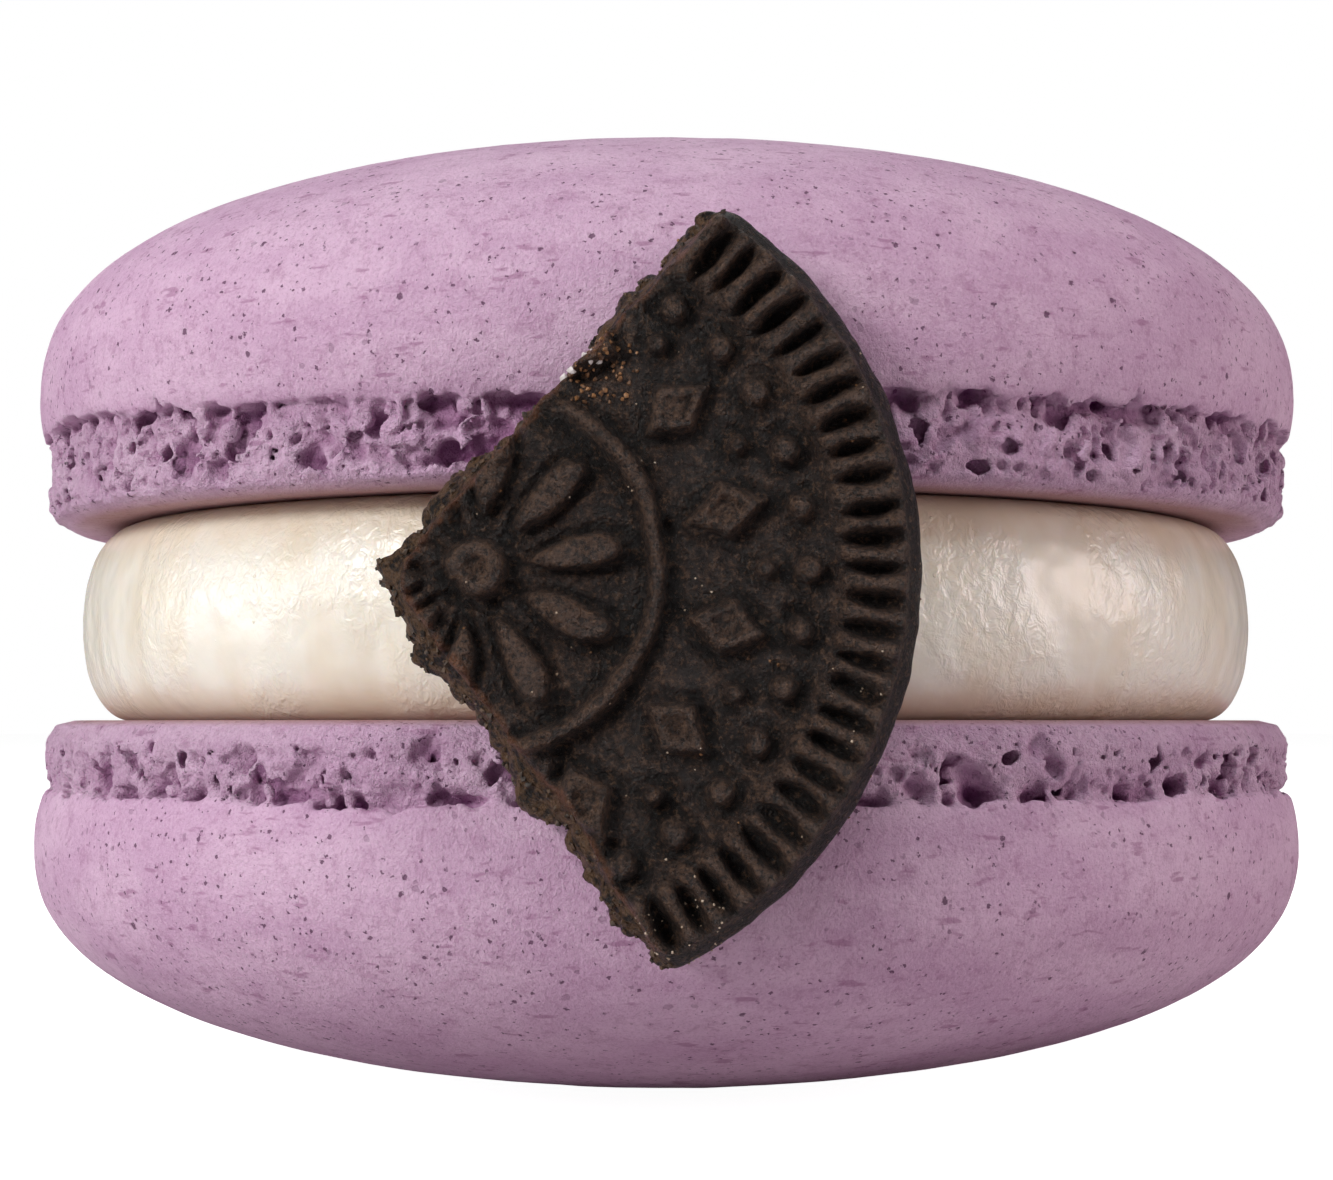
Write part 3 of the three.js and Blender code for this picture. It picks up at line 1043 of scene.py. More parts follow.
@dataclass
class MeringueShell:
    """One domed shell: flat face, spongy foot and smooth dome, worked out with its flat face down.

    Heights are from the flat face, and flat_level is that face's height above the table. The lip is
    the dome's lower edge, higher at both sides by lip_rise. The powers are those of the dome's
    superellipse, and cap_depth is how much of its tip the flat spot takes off. A bubble's numbers
    are its spacing in mm, its radius as a share of that, and how deep it may reach in mm.
    """

    name: str
    node: str
    height: float
    equator: float
    flat_level: float
    upside_down: bool
    cap_depth: float
    foot: FootCharacter
    radius: float = 26.0
    lip_height: float = 2.6
    lip_rise: float = 0.25
    lip_radius: float = 25.6
    covered_radius: float = 22.0
    inner_radius: float = 23.6
    across_power: float = 2.03
    up_power: float = 2.44
    around: int = 1000
    front_density: float = 0.36
    margin: float = 0.35
    layers: int = 22
    dome_rows: int = 60
    bubbles: tuple[tuple[float, float, float], ...] = (
        (1.5, 0.46, 0.85),
        (0.85, 0.42, 0.55),
        (0.5, 0.4, 0.32),
    )

    def __post_init__(self) -> None:
        """Sets the noise and the source of random numbers."""
        self.grain = Grain(self.foot.seed)
        self.cells = Cells(self.foot.seed + 2)
        self.random = np.random.default_rng(self.foot.seed + 1)

    def azimuth(self, column: Array) -> Array:
        """Returns the angle of a column, given its number, with columns closer together at the front."""
        turn = TURN * column / self.around
        return FRONT + turn - self.front_density * np.sin(turn)

    def side_radius(self, height: Array) -> Array:
        """Returns the dome's radius between the lip and the widest circle."""
        below = (self.equator - height) / (self.equator - self.lip_height)
        return self.radius - (self.radius - self.lip_radius) * np.maximum(below, 0) ** 2

    def profile(self) -> tuple[Array, Array]:
        """Lays out the rows of the foot's grid, from under the cream round the foot to the dome.

        Returns:
            The grid's outer edge and its inner edge, a radius and a height for each row.
        """
        lip, rim = self.lip_height, self.lip_radius
        covered, inmost = self.covered_radius, self.inner_radius
        top = lip + self.lip_rise + 0.9
        # From under the cream along the flat face, round its edge and up the foot's side to the lip.
        surface = [(covered, 0.0), (24.6, 0.0), (25.25, 0.14), (25.55, 0.6), (rim, 1.2), (rim, lip)]
        # Which way the margin goes there, in radius and in height.
        outwards = [(0.0, -1.0), (0.12, -1.0), (0.75, -0.66), (0.98, -0.2), (1.0, 0.0), (1.0, 0.0)]
        inner = [(covered, 1.5), (23.2, 1.5), (23.3, 1.6), (23.4, 1.8), (23.5, 2.1), (inmost, lip + 0.3)]
        row_height = 0.1
        rows = [6, 6, 6, 7, round((lip - 1.2) / row_height)]
        steps = 5
        for step in range(1, steps + 1):
            height = lip + (top - lip) * step / steps
            surface.append((float(self.side_radius(np.array(height))), height))
            outwards.append((1.0, 0.0))
            inner.append((inmost + 0.04 * step, lip + 0.3 + (top - lip - 0.3) * step / steps))
            rows.append(2)
        at = np.concatenate([[0], np.cumsum(rows)])
        row = np.arange(at[-1] + 1)

        def spread(points: list[tuple[float, float]]) -> Array:
            """Spreads points over the rows.

            Args:
                points: pairs of numbers, one for each row in at.

            Returns:
                A pair of numbers for each row.
            """
            return np.stack([np.interp(row, at, [point[i] for point in points]) for i in (0, 1)], axis=1)

        return spread(surface) + self.margin * spread(outwards), spread(inner)

    def scatter(self, count: int) -> Array:
        """Returns angles spread round the foot, one at random in each even share of the turn."""
        return TURN * (np.arange(count) + self.random.uniform(size=count)) / max(count, 1)

    def carve_foot(self, block: FootBlock) -> None:
        """Opens caves, pits and pores in the foot and adds what hangs and lies in them.

        Args:
            block: the foot's samples, which are changed.
        """
        foot, random, rim = self.foot, self.random, self.lip_radius
        # Caves lie under the lip, about half of them with a deeper one behind.
        for angle in self.scatter(foot.caves):
            wide = random.uniform(0.35, 1.15) ** 1.3 + 0.2
            tall = random.uniform(0.3, 0.62)
            deep = random.uniform(0.45, 1.05)
            low = block.lip_at(angle) - 0.5 * tall
            block.take(angle, rim - 0.05, low, (wide, deep, tall), 0.1, lean=0.3)
            if random.uniform() < 0.55:
                shift = random.uniform(-0.6, 0.6) * wide / rim
                block.take(angle + shift, rim - 0.6, low + 0.1, (0.4 * wide, 0.6, 0.3), 0.06, lean=0.4)
        # Pits lie anywhere on the side.
        for angle in self.scatter(foot.pits):
            wide = random.uniform(0.22, 0.6)
            h = block.lip_at(angle) * random.uniform(0.3, 0.85)
            size = (wide, random.uniform(0.25, 0.6), wide * random.uniform(0.6, 1.5))
            block.take(angle, rim - 0.12, h, size, 0.12, lean=0.3)
        # Nodules lie in the caves, and drips hang from the lip.
        for angle in self.scatter(foot.nodules):
            size = random.uniform(0.15, 0.4)
            r, h = rim - random.uniform(0.35, 0.9), block.lip_at(angle) - random.uniform(0.2, 1.3)
            block.add(angle, r, h, (size, size, size), 0.12)
        for angle in self.scatter(foot.drips):
            size = random.uniform(0.14, 0.3)
            r, h = rim - random.uniform(0.25, 0.5), block.lip_at(angle) - 0.3
            block.add(angle, r, h, (size, 0.2, random.uniform(0.35, 0.75)), 0.16)
        # A crater is a low mound with a hole in it, and a pore is a hole alone.
        for angle in self.scatter(foot.craters):
            size = random.uniform(0.13, 0.26)
            h = random.uniform(max(0.6, foot.smooth_below), self.lip_height - 0.7)
            block.add(angle, rim - 0.42, h, (2.4 * size, 1.6 * size, 2.2 * size), 0.25)
            block.take(angle, rim - 0.05, h, (size, 3.2 * size, 1.1 * size), 0.06)
        for angle in self.scatter(foot.pores):
            size = random.uniform(0.07, 0.17)
            h = random.uniform(0.35, self.lip_height - 0.2)
            block.take(angle, rim - 0.15, h, (size, 3.0 * size, size * random.uniform(0.7, 1.2)), 0.04)
        # A crack runs up the dome from the lip and gets thinner and shallower.
        for angle in foot.cracks:
            for step in range(4):
                spot = angle + random.uniform(-0.16, 0.16) / rim
                h = block.lip_at(angle) + 0.22 * step - 0.05
                size = (0.085 - 0.01 * step, 0.45 - 0.08 * step, 0.2)
                block.take(spot, rim, h, size, 0.02, roofed=False)

    def drawn(self, x: Array) -> Array:
        """Returns how far the sponge is drawn into posts, more towards the right."""
        return np.clip(x / self.radius, 0, 1) * self.foot.ribbed_side

    def calmer(self, x: Array, amount: float) -> Array:
        """Returns a share that falls by an amount at the outline's left and right ends."""
        return 1 - amount * ramp(np.abs(x), 24.4, 25.6)

    def sponge(self, points: Array, lip: Array) -> Array:
        """Works out how far the foot's rough surface lies inside its outline.

        Args:
            points: the samples' positions.
            lip: height of the dome's lip for each column.

        Returns:
            Depths in mm.
        """
        foot = self.foot
        x, height = points[..., 0], points[..., 2]
        level = height / lip[:, None, None]
        radius = np.hypot(x, points[..., 1])
        shifted = points + 0.3 * self.grain.at(points + 61, 1.1)[..., None]
        lumps = np.minimum(self.cells.away(shifted, 1.25), 0.85) ** 1.5
        beads = self.cells.away(points + 19, 0.45)
        swells = 0.5 + 0.5 * self.grain.at(points + 3, 2.2)
        posts = 0.5 + 0.5 * self.grain.at(points + 5, (0.55, 0.55, 4.0))
        drawn = self.drawn(x) * ramp(x, 26.2, 23.5)
        rough = foot.lump_depth * (lumps + 0.4 * swells - 0.35) + 0.17 * (beads - 0.45)
        rough = rough + drawn * (0.6 * posts - 0.3)
        in_places = 0.35 + 0.65 * (0.5 + 0.5 * self.grain.at(points + 8, 3.1))
        recess = 0.2 * ramp(level, 0.5, 1.0) * in_places
        edge = 0.27 + 0.1 * self.grain.rough(points + 44, 0.9, 3)
        rough = rough * self.calmer(x, 0.5)
        band = 1 - ramp(height - edge, -0.05, 0.05)
        start = height + 0.25 * self.grain.at(points + 71, 2.0) - foot.smooth_below
        smooth = 1 - ramp(start, 0.0, 0.45)
        depth = np.maximum((rough + recess) * (1 - 0.72 * smooth), -0.2)
        depth = depth * (1 - band) + foot.band_depth * band
        return depth * ramp(radius, 24.7, 25.1)

    def foam(self, solid: Array, points: Array, depth: Array, lip: Array) -> Array:
        """Opens the sponge's round bubbles where they come to the surface.

        Args:
            solid: the samples so far, positive inside.
            points: the samples' positions.
            depth: depth of each row and layer under the foot's outline.
            lip: height of the dome's lip for each column.

        Returns:
            The samples afterwards.
        """
        foot = self.foot
        layers = int(np.count_nonzero(depth.min(axis=0) < 1.0))
        near, deep = points[:, :, :layers], depth[None, :, :layers]
        opened = solid[:, :, :layers]
        x, height = near[..., 0], near[..., 2]
        drawn = self.drawn(x)
        start = max(0.2, 0.6 * foot.smooth_below)
        room = ramp(height, start, start + 0.5) * (1 - ramp(height - lip[:, None, None], -0.1, 0.1))
        room = room * (0.78 + 0.35 * self.grain.at(near + 29, 1.8) + 0.12 * drawn)
        room = room * self.calmer(x, 0.35)
        fray = self.grain.rough(near + 67, 0.5, 2)
        place = near + 0.12 * fray[..., None]
        place[..., 2] *= 1 - 0.5 * drawn
        for spacing, share, deepest in self.bubbles:
            away = self.cells.away(place + 11 * spacing, spacing)
            bubble = (away - foot.openness * share * room) * spacing
            bubble = np.where(room > 0.05, soft_max(bubble, deep - deepest + 0.2 * fray, 0.12), 1.0)
            opened = soft_min(opened, bubble, 0.13)
        return np.concatenate([opened, solid[:, :, layers:]], axis=2)

    def lip_line(self, angles: Array) -> Array:
        """Works out the height of the dome's lip.

        Args:
            angles: the columns' angles.

        Returns:
            The lip's height for each column.
        """
        x, y = self.radius * np.cos(angles), self.radius * np.sin(angles)
        rim = np.stack([x, y, np.zeros(len(angles))], axis=1)
        lip = self.lip_height + self.lip_rise * np.cos(angles) ** 2 + 0.15 * self.grain.at(rim, 6.0)
        lip = lip + 0.13 * self.grain.rough(rim + 50, 1.1, 2)
        return lip + 0.11 * self.grain.rough(rim + 80, 0.45, 2)

    def foot_net(self) -> tuple[Surface, Array, Array]:
        """Meshes the foot.

        Returns:
            Its surface, and the vertex numbers of its inner and upper edges.
        """
        outer, inner = self.profile()
        depth_share = np.linspace(0, 1, self.layers)
        radius = outer[:, None, 0] + (inner[:, None, 0] - outer[:, None, 0]) * depth_share
        height = outer[:, None, 1] + (inner[:, None, 1] - outer[:, None, 1]) * depth_share
        length = np.linalg.norm(inner - outer, axis=1)
        depth = length[:, None] * depth_share - self.margin
        angles = self.azimuth(np.arange(self.around))
        points = np.stack(
            [
                np.cos(angles)[:, None, None] * radius,
                np.sin(angles)[:, None, None] * radius,
                np.broadcast_to(height, (self.around, *height.shape)),
            ],
            axis=-1,
        ).astype(np.float32)
        lip = self.lip_line(angles)
        above = ramp(points[..., 2] - lip[:, None, None], -0.1, 0.06)
        rows = np.arange(len(outer))
        held = ramp(rows, 1, 4) * ramp(rows, len(outer) - 1, len(outer) - 4)
        solid = (depth[None] - self.sponge(points, lip) * (1 - above) * held[:, None]).astype(np.float32)
        warp = np.stack(
            [
                0.2 * self.grain.rough(points + 11, 0.9, 3),
                0.16 * self.grain.rough(points + 23, 0.6, 3),
                0.17 * self.grain.rough(points + 37, 0.7, 3),
            ],
            axis=-1,
        )
        roof = (points[..., 2] - lip[:, None, None] - 0.5 * np.maximum(depth, 0)[None]) * 0.9
        carved = self.foam(solid, points, depth, lip)
        block = FootBlock(carved, roof, radius, height, warp, lip, angles, self.lip_radius)
        self.carve_foot(block)
        sides = ramp(points[..., 2] - lip[:, None, None], 0.0, -0.15) * ramp(points[..., 2], 0.2, 0.5)
        carved = block.solid + 0.06 * sides * self.grain.rough(points + 101, 0.33, 2)
        solid = carved * held[:, None] + solid * (1 - held[:, None])
        solid[..., 0] = -self.margin
        solid[..., -2:] = np.maximum(solid[..., -2:], 0.3)
        # Loose bits are dropped and closed voids are filled.
        layer_numbers = np.arange(self.layers)
        inmost, outmost = layer_numbers == self.layers - 1, layer_numbers == 0
        solid = np.where((solid > 0) & ~joined(solid > 0, inmost), -0.05, solid)
        solid = np.where((solid <= 0) & ~joined(solid <= 0, outmost), 0.05, solid)
        net = Net.around(solid, wraps=True)
        column, row, layer = net.vertices.T

        def at_row(values: Array) -> Array:
            """Returns a value of the rows at each vertex."""
            return np.interp(row, rows, values)

        share = layer / (self.layers - 1)
        r, h = (
            at_row(outer[:, i]) + (at_row(inner[:, i]) - at_row(outer[:, i])) * share for i in (0, 1)
        )
        angle = self.azimuth(column)
        places = np.stack([r * np.cos(angle), r * np.sin(angle), h], axis=1)
        surface = Surface(places, [net.faces[:, ::-1]])
        side = ramp(at_row(outer[:, 0]), 25.0, 25.6)
        facing = ramp(np.abs(r * np.cos(angle)), 24.6, 21.6)
        # face marks where the meringue paints shade and the cream's warm reflection under the flat face.
        surface.values["face"] = ramp(h, 0.3, 0.02) * ramp(at_row(outer[:, 0]), 25.6, 24.6) * facing
        # hollow is the depth into the foot, which the meringue paints as shade.
        surface.values["hollow"] = np.clip(share * at_row(length) - self.margin, 0, 2) * side
        lip_here = np.interp(column, np.arange(self.around + 1), np.append(lip, lip[0]))
        surface.values["foot"] = side * (1 - ramp(h, lip_here - 0.15, lip_here + 0.1))
        first = net.cells[:, 0].max(axis=1)
        last = net.cells[:, -1].max(axis=1)
        return surface, first, last

    def dome_rings(self, start_height: float) -> list[tuple[float, float, int]]:
        """Lays out the dome's rings above the foot.

        Args:
            start_height: height of the foot's upper edge.

        Returns:
            For each ring its radius, height and number of vertices.
        """
        rings = []
        for height in np.linspace(start_height, self.equator, 5)[1:]:
            rings.append((float(self.side_radius(np.array(height))), float(height), self.around))
        for row in range(1, self.dome_rows):
            angle = (row / self.dome_rows) ** 0.93 * math.pi / 2
            radius = self.radius * math.cos(angle) ** (2 / self.across_power)
            height = self.equator + (self.height - self.equator) * math.sin(angle) ** (2 / self.up_power)
            fewer = 2 if radius > self.radius / 2 else 4 if radius > 5 else 8
            rings.append((radius, min(height, self.height - self.cap_depth), self.around // fewer))
        return rings

    def build(self, material: bpy.types.Material) -> bpy.types.Object:
        """Makes the shell and puts it in its place.

        Args:
            material: the meringue.

        Returns:
            The piece.
        """
        surface, first, last = self.foot_net()
        start_height = float(surface.vertices[last, 2].mean())
        ring, columns = last, self.azimuth(np.arange(self.around) + 0.5)
        for radius, height, count in self.dome_rings(start_height):
            angles = columns[:: self.around // count]
            x, y = radius * np.cos(angles), radius * np.sin(angles)
            numbers = surface.add_vertices(np.stack([x, y, np.full(count, height)], axis=1))
            surface.bridge(ring, numbers)
            ring = numbers
        surface.close(ring, np.array([0, 0, surface.vertices[ring, 2].mean()]))
        surface.close(first[::-1], np.array([0, 0, float(surface.vertices[first, 2].mean())]))
        self.unevenness(surface)
        up = -1 if self.upside_down else 1
        surface.vertices[:, 2] = self.flat_level + surface.vertices[:, 2] * up
        piece = surface.make(self.name, material, turned=self.upside_down)
        thin(piece)
        claim(piece, Slot.SHELL, self.node)
        return piece

    def unevenness(self, surface: Surface) -> None:
        """Moves the shell's vertices a little in and out, less near both of its flat parts.

        Args:
            surface: the shell's surface, which is changed.
        """
        points = surface.vertices
        outwards = points - np.array([0, 0, self.equator])
        outwards /= np.linalg.norm(outwards, axis=1, keepdims=True)
        free = ramp(points[:, 2], 1.0, 4.0) * ramp(self.height - self.cap_depth - points[:, 2], 0.0, 0.6)
        swell = 0.07 * self.grain.at(points + 90, 7.0) + 0.02 * self.grain.rough(points + 60, 1.4, 2)
        surface.vertices = points + outwards * (swell * free)[:, None]


# --------------------------------------------------------------------------------------------------
# Filling


@dataclass
class CreamFilling:
    """The barrel of cream between the flat faces, with the dab that holds the wafer.

    Its sides swell from the contact radius by the bulge, and front_reach is how far out the dab is
    pressed flat. cap_share is the share of the grid's rows that closes each end.
    """

    bottom: float
    height: float = 7.84
    contact_radius: float = 22.0
    bulge: float = 2.22
    front_reach: float = 25.95
    around: int = 640
    rows: int = 100
    cap_share: float = 0.1
    noise_radius: float = 24.0
    swell_depth: float = 0.1
    fold_depth: float = 0.035

    def build(self, material: bpy.types.Material) -> bpy.types.Object:
        """Makes the filling from a grid that a Geometry Nodes tree wraps round the axis.

        Args:
            material: the cream.

        Returns:
            The piece.
        """
        sizes = {
            "Bottom": self.bottom * MM,
            "Height": self.height * MM,
            "Contact radius": self.contact_radius * MM,
            "Bulge": self.bulge * MM,
            "Front reach": self.front_reach * MM,
            "Columns": self.around + 1,
            "Rows": self.rows + 1,
            "Cap share": self.cap_share,
        }
        g = GeometryGraph("cream barrel", sizes)
        grid = g.add(
            "GeometryNodeMeshGrid",
            {"Size X": 1.0, "Size Y": 1.0, "Vertices X": g.size("Columns"), "Vertices Y": g.size("Rows")},
        ).outputs["Mesh"]
        place = g.add("ShaderNodeSeparateXYZ", {0: g.add("GeometryNodeInputPosition").outputs[0]})
        turn = g.product(place.outputs[0], TURN)
        along = g.math("ADD", place.outputs[1], 0.5)
        cap_end = g.math("SUBTRACT", 1.0, g.size("Cap share"))
        up = g.add(
            "ShaderNodeMapRange",
            {
                "Value": along,
                "From Min": g.size("Cap share"),
                "From Max": cap_end,
                "To Min": -1.0,
                "To Max": 1.0,
            },
            clamp=True,
        ).outputs[0]
        from_end = g.math("MINIMUM", along, g.math("SUBTRACT", 1.0, along))
        to_rim = g.math("MINIMUM", g.math("DIVIDE", from_end, g.size("Cap share")), 1.0)
        quarter = g.product(up, math.pi / 2)
        swelling = g.math("POWER", g.math("MAXIMUM", g.math("COSINE", quarter), 0.0), 0.8)
        rise = g.product(g.math("ADD", g.math("SINE", quarter), 1.0), 0.5)
        level = g.math("ADD", g.size("Bottom"), g.product(rise, g.size("Height")))
        ahead = g.product(g.math("COSINE", turn), -1.0)
        direction = g.add("ShaderNodeCombineXYZ", {0: g.math("SINE", turn), 1: ahead}).outputs[0]
        lifted = g.add("ShaderNodeCombineXYZ", {2: level}).outputs[0]
        sample = g.vector("ADD", g.scaled(direction, self.noise_radius * MM), lifted).outputs[0]
        broad = g.product(g.noise(sample, 9.0), self.swell_depth * MM)
        folds = g.product(g.noise(sample, 1.6, 3.0), self.fold_depth * MM)
        uneven = g.product(g.math("ADD", broad, folds), swelling)
        belly = g.math("ADD", g.size("Contact radius"), g.product(g.size("Bulge"), swelling))
        belly = g.math("ADD", belly, uneven)
        # The dab reaches 0.08 rad to each side of the front and ends at 0.2.
        dab = g.product(g.ramp(g.math("ABSOLUTE", turn), 0.2, 0.08), g.ramp(swelling, 0.2, 0.75))
        pressed = g.math("DIVIDE", g.size("Front reach"), g.math("COSINE", turn))
        pressed = g.math("MINIMUM", pressed, g.math("ADD", g.size("Front reach"), 1.0 * MM))
        radius = g.math("ADD", belly, g.product(dab, g.math("SUBTRACT", pressed, belly)))
        placed = g.vector("ADD", g.scaled(direction, g.product(radius, to_rim)), lifted).outputs[0]
        barrel = g.add("GeometryNodeSetPosition", {"Geometry": grid, "Position": placed}).outputs[0]
        seam = {"Geometry": barrel, "Distance": 0.002 * MM}
        closed = g.add("GeometryNodeMergeByDistance", seam).outputs[0]
        g.end(g.add("GeometryNodeSetShadeSmooth", {0: closed}).outputs[0], material)
        piece = g.apply("filling_cream", bpy.data.meshes.new("filling seed"))
        claim(piece, Slot.CREAM, "filling")
        return piece


# --------------------------------------------------------------------------------------------------
# Wafer


@dataclass
class CocoaWafer:
    """A broken third of a round cocoa wafer with a ribbed rim and a plain ornamental embossing.

    The disc stands upright, its back at y = back and its centre at centre_x, centre_z. The tips are
    the angles at which the breaks leave its rim, and they meet at the corner. The tuples say how far
    each break bulges at even steps along it, at the back and, inwards, at the front. A stud's numbers
    are how many stand in its ring, the ring's radius, a stud's radius and its height.
    """

    back: float = -26.05
    centre_x: float = -5.9
    centre_z: float = 19.14
    radius: float = 13.9
    thickness: float = 2.6
    relief: float = 0.5
    rib_count: int = 81
    rib_ring: float = 12.35
    top_tip: float = 56.3
    bottom_tip: float = -63.9
    corner: tuple[float, float] = (-3.0, -0.25)
    upper_back: tuple[float, ...] = (0, 0.35, 0.1, 0.5, 0.1, -0.05, 0.2, 0, 0.45, 0.5, 0.2, 0.25)
    upper_front: tuple[float, ...] = (0, 0.2, 0.05, 0.15, 0.3)
    lower_back: tuple[float, ...] = (0.2, 0.3, 0.55, 0.2, 0.1, 0.35, 0.65, 0.1, 0.3, 0.5, 0.2, 0.2)
    lower_front: tuple[float, ...] = (0.3, 0.4, 0.3, 0.6, 0.1, 0)
    studs: tuple[tuple[int, float, float, float], ...] = ((34, 10.25, 0.46, 0.8), (14, 8.95, 0.34, 0.7))
    lozenge_count: int = 14
    lozenge_ring: float = 7.95
    line_radius: float = 5.65
    petal_count: int = 10
    petal_ring: float = 3.2
    hub_radius: float = 0.95
    step: float = 0.092
    seed: int = 905

    def ring_figure(
        self, x: Array, z: Array, count: int, radius: float, turn: float
    ) -> tuple[Array, Array]:
        """Finds each point's place within the nearest of the figures round a ring.

        Args:
            x: position across the disc.
            z: position up the disc.
            count: number of figures.
            radius: the ring's radius.
            turn: the first figure's place, as a share of the pitch.

        Returns:
            Distance outwards from the figure's centre, and distance along the ring.
        """
        pitch = TURN / count
        angle = np.arctan2(z, x) - turn * pitch
        angle = (angle + pitch / 2) % pitch - pitch / 2
        distance = np.hypot(x, z)
        return distance * np.cos(angle) - radius, distance * np.sin(angle)

    def embossing(self, x: Array, z: Array, uneven: Array) -> Array:
        """Works out how far the embossing stands out.

        Args:
            x: position across the disc.
            z: position up the disc.
            uneven: how much longer, wider and higher things are pressed, from -1 to 1.

        Returns:
            Heights in mm above the plate.
        """
        distance = np.hypot(x, z)

        def figure(inside: Array, height: float = 1.0, width: float = 0.3) -> Array:
            """Returns a soft-edged raised figure from the distance inside its outline."""
            crowned = 0.74 + 0.26 * ramp(inside, 0, 2 * width)
            return height * self.relief * ramp(inside, -0.06, 0.7 * width) * crowned

        def ditch(inside: Array) -> Array:
            """Returns the shallow ditch pressed round a figure."""
            return -0.2 * ramp(inside, -0.6, -0.12) * (1 - ramp(inside, -0.12, 0.1))

        out, along = self.ring_figure(x, z, self.rib_count, self.rib_ring, 0.0)
        place = np.arctan2(z, x) * self.rib_count / TURN
        chance = np.random.default_rng(self.seed + 2).uniform(-1, 1, (self.rib_count, 4))
        slots = chance[np.round(place).astype(int) % self.rib_count]
        rib_rise = chance[np.floor(place).astype(int) % self.rib_count, 3]
        long = 0.8 + 0.14 * slots[..., 0] + 0.1 * uneven
        wide = (0.24 + 0.05 * slots[..., 1] + 0.05 * uneven) * (1 + 0.2 * out)
        slot = 0.2 * (1 - np.hypot((along - 0.05 * slots[..., 2]) / wide, (out + 0.04) / long))
        beside = ramp(np.abs(along), 0.04, 0.42)
        band = 0.42 * ramp(1.25 - np.abs(out), -0.15, 0.4)
        height = band * (0.55 + 0.45 * beside) * (1 + 0.2 * rib_rise * beside)
        height = height * (1 + 0.15 * uneven) - (0.6 + 0.06 * out) * ramp(slot, -0.13, 0.12)
        for count, ring, size, rise in self.studs:
            out, along = self.ring_figure(x, z, count, ring, 0.0)
            inside = size - np.hypot(out, along)
            height += figure(inside, rise, 0.3) + ditch(inside)
        out, along = self.ring_figure(x, z, self.lozenge_count, self.lozenge_ring, 0.5)
        inside = (1 - np.abs(out) / 1.35 - np.abs(along) / 0.95) * 0.78
        height += figure(inside, 1.0, 0.28) + ditch(inside) - 0.2 * ramp(inside, 0.3, 0.5)
        inside = 0.3 - np.abs(distance - self.line_radius)
        height += figure(inside, 0.85, 0.25) + ditch(inside)
        out, along = self.ring_figure(x, z, self.petal_count, self.petal_ring, 0.25)
        inside = (1 - (out / 1.5) ** 2 - (along / (0.52 + 0.1 * out)) ** 2) * 0.33
        height += figure(inside, 1.0, 0.2) + ditch(inside)
        inside = self.hub_radius - distance
        height += figure(inside, 1.0, 0.3) + ditch(inside) - 0.2 * ramp(inside, 0.45, 0.7)
        return height

    def front_height(self, flat: Array, grain: Grain) -> Array:
        """Works out how far the front stands out: the embossing, its wear, and crumbs by the breaks.

        Args:
            flat: positions on the disc's plane.
            grain: the noise that wears it.

        Returns:
            Heights in mm above the plate.
        """
        x, z = flat[..., 0], flat[..., 2]
        wobble = [0.1 * grain.rough(flat + shift, 1.2, 3) for shift in (5, 15)]
        height = self.embossing(x + wobble[0], z + wobble[1], grain.at(flat + 25, 1.0))
        height = height * (0.95 + 0.2 * grain.at(flat + 33, 1.7))
        height += 0.06 * grain.at(flat + 40, 3.0) + 0.13 * grain.rough(flat + 70, 0.8, 2)
        height += 0.035 * grain.rough(flat + 90, 0.3, 2)
        ragged = ramp(self.break_distance(x, z, np.zeros_like(x)), 1.2, 0.2)
        away = np.minimum(Cells(self.seed + 3).away(flat, 0.6), 0.7)
        return height + 0.5 * ragged * (0.3 - away**2)

    def back_share(self, y: Array) -> Array:
        """Returns how far the back's outline holds: fully at the back, little at the front."""
        return 1 - 0.85 * ramp(y, 1.2, 2.2)

    def break_distance(self, x: Array, z: Array, share: Array) -> Array:
        """Measures how far a point is on the kept side of both breaks.

        Args:
            x: position across the disc.
            z: position up the disc.
            share: 1 at the wafer's back and 0 at its front.

        Returns:
            The distance inside the nearer break.
        """
        top, bottom = (
            self.radius * np.array([math.cos(math.radians(angle)), math.sin(math.radians(angle))])
            for angle in (self.top_tip, self.bottom_tip)
        )
        corner = np.array(self.corner)
        sides = (
            (top, corner, self.upper_back, self.upper_front),
            (corner, bottom, self.lower_back, self.lower_front),
        )
        distances = []
        for start, end, back, front in sides:
            length = np.linalg.norm(end - start)
            way = (end - start) / length
            outwards = np.array([way[1], -way[0]])
            along = np.clip(((x - start[0]) * way[0] + (z - start[1]) * way[1]) / length, 0, 1)
            reach_back = np.interp(along, np.linspace(0, 1, len(back)), back)
            reach_front = -np.interp(along, np.linspace(0, 1, len(front)), front)
            away = (x - start[0]) * outwards[0] + (z - start[1]) * outwards[1]
            distances.append(reach_front + (reach_back - reach_front) * share - away)
        return soft_min(*distances, 0.9)

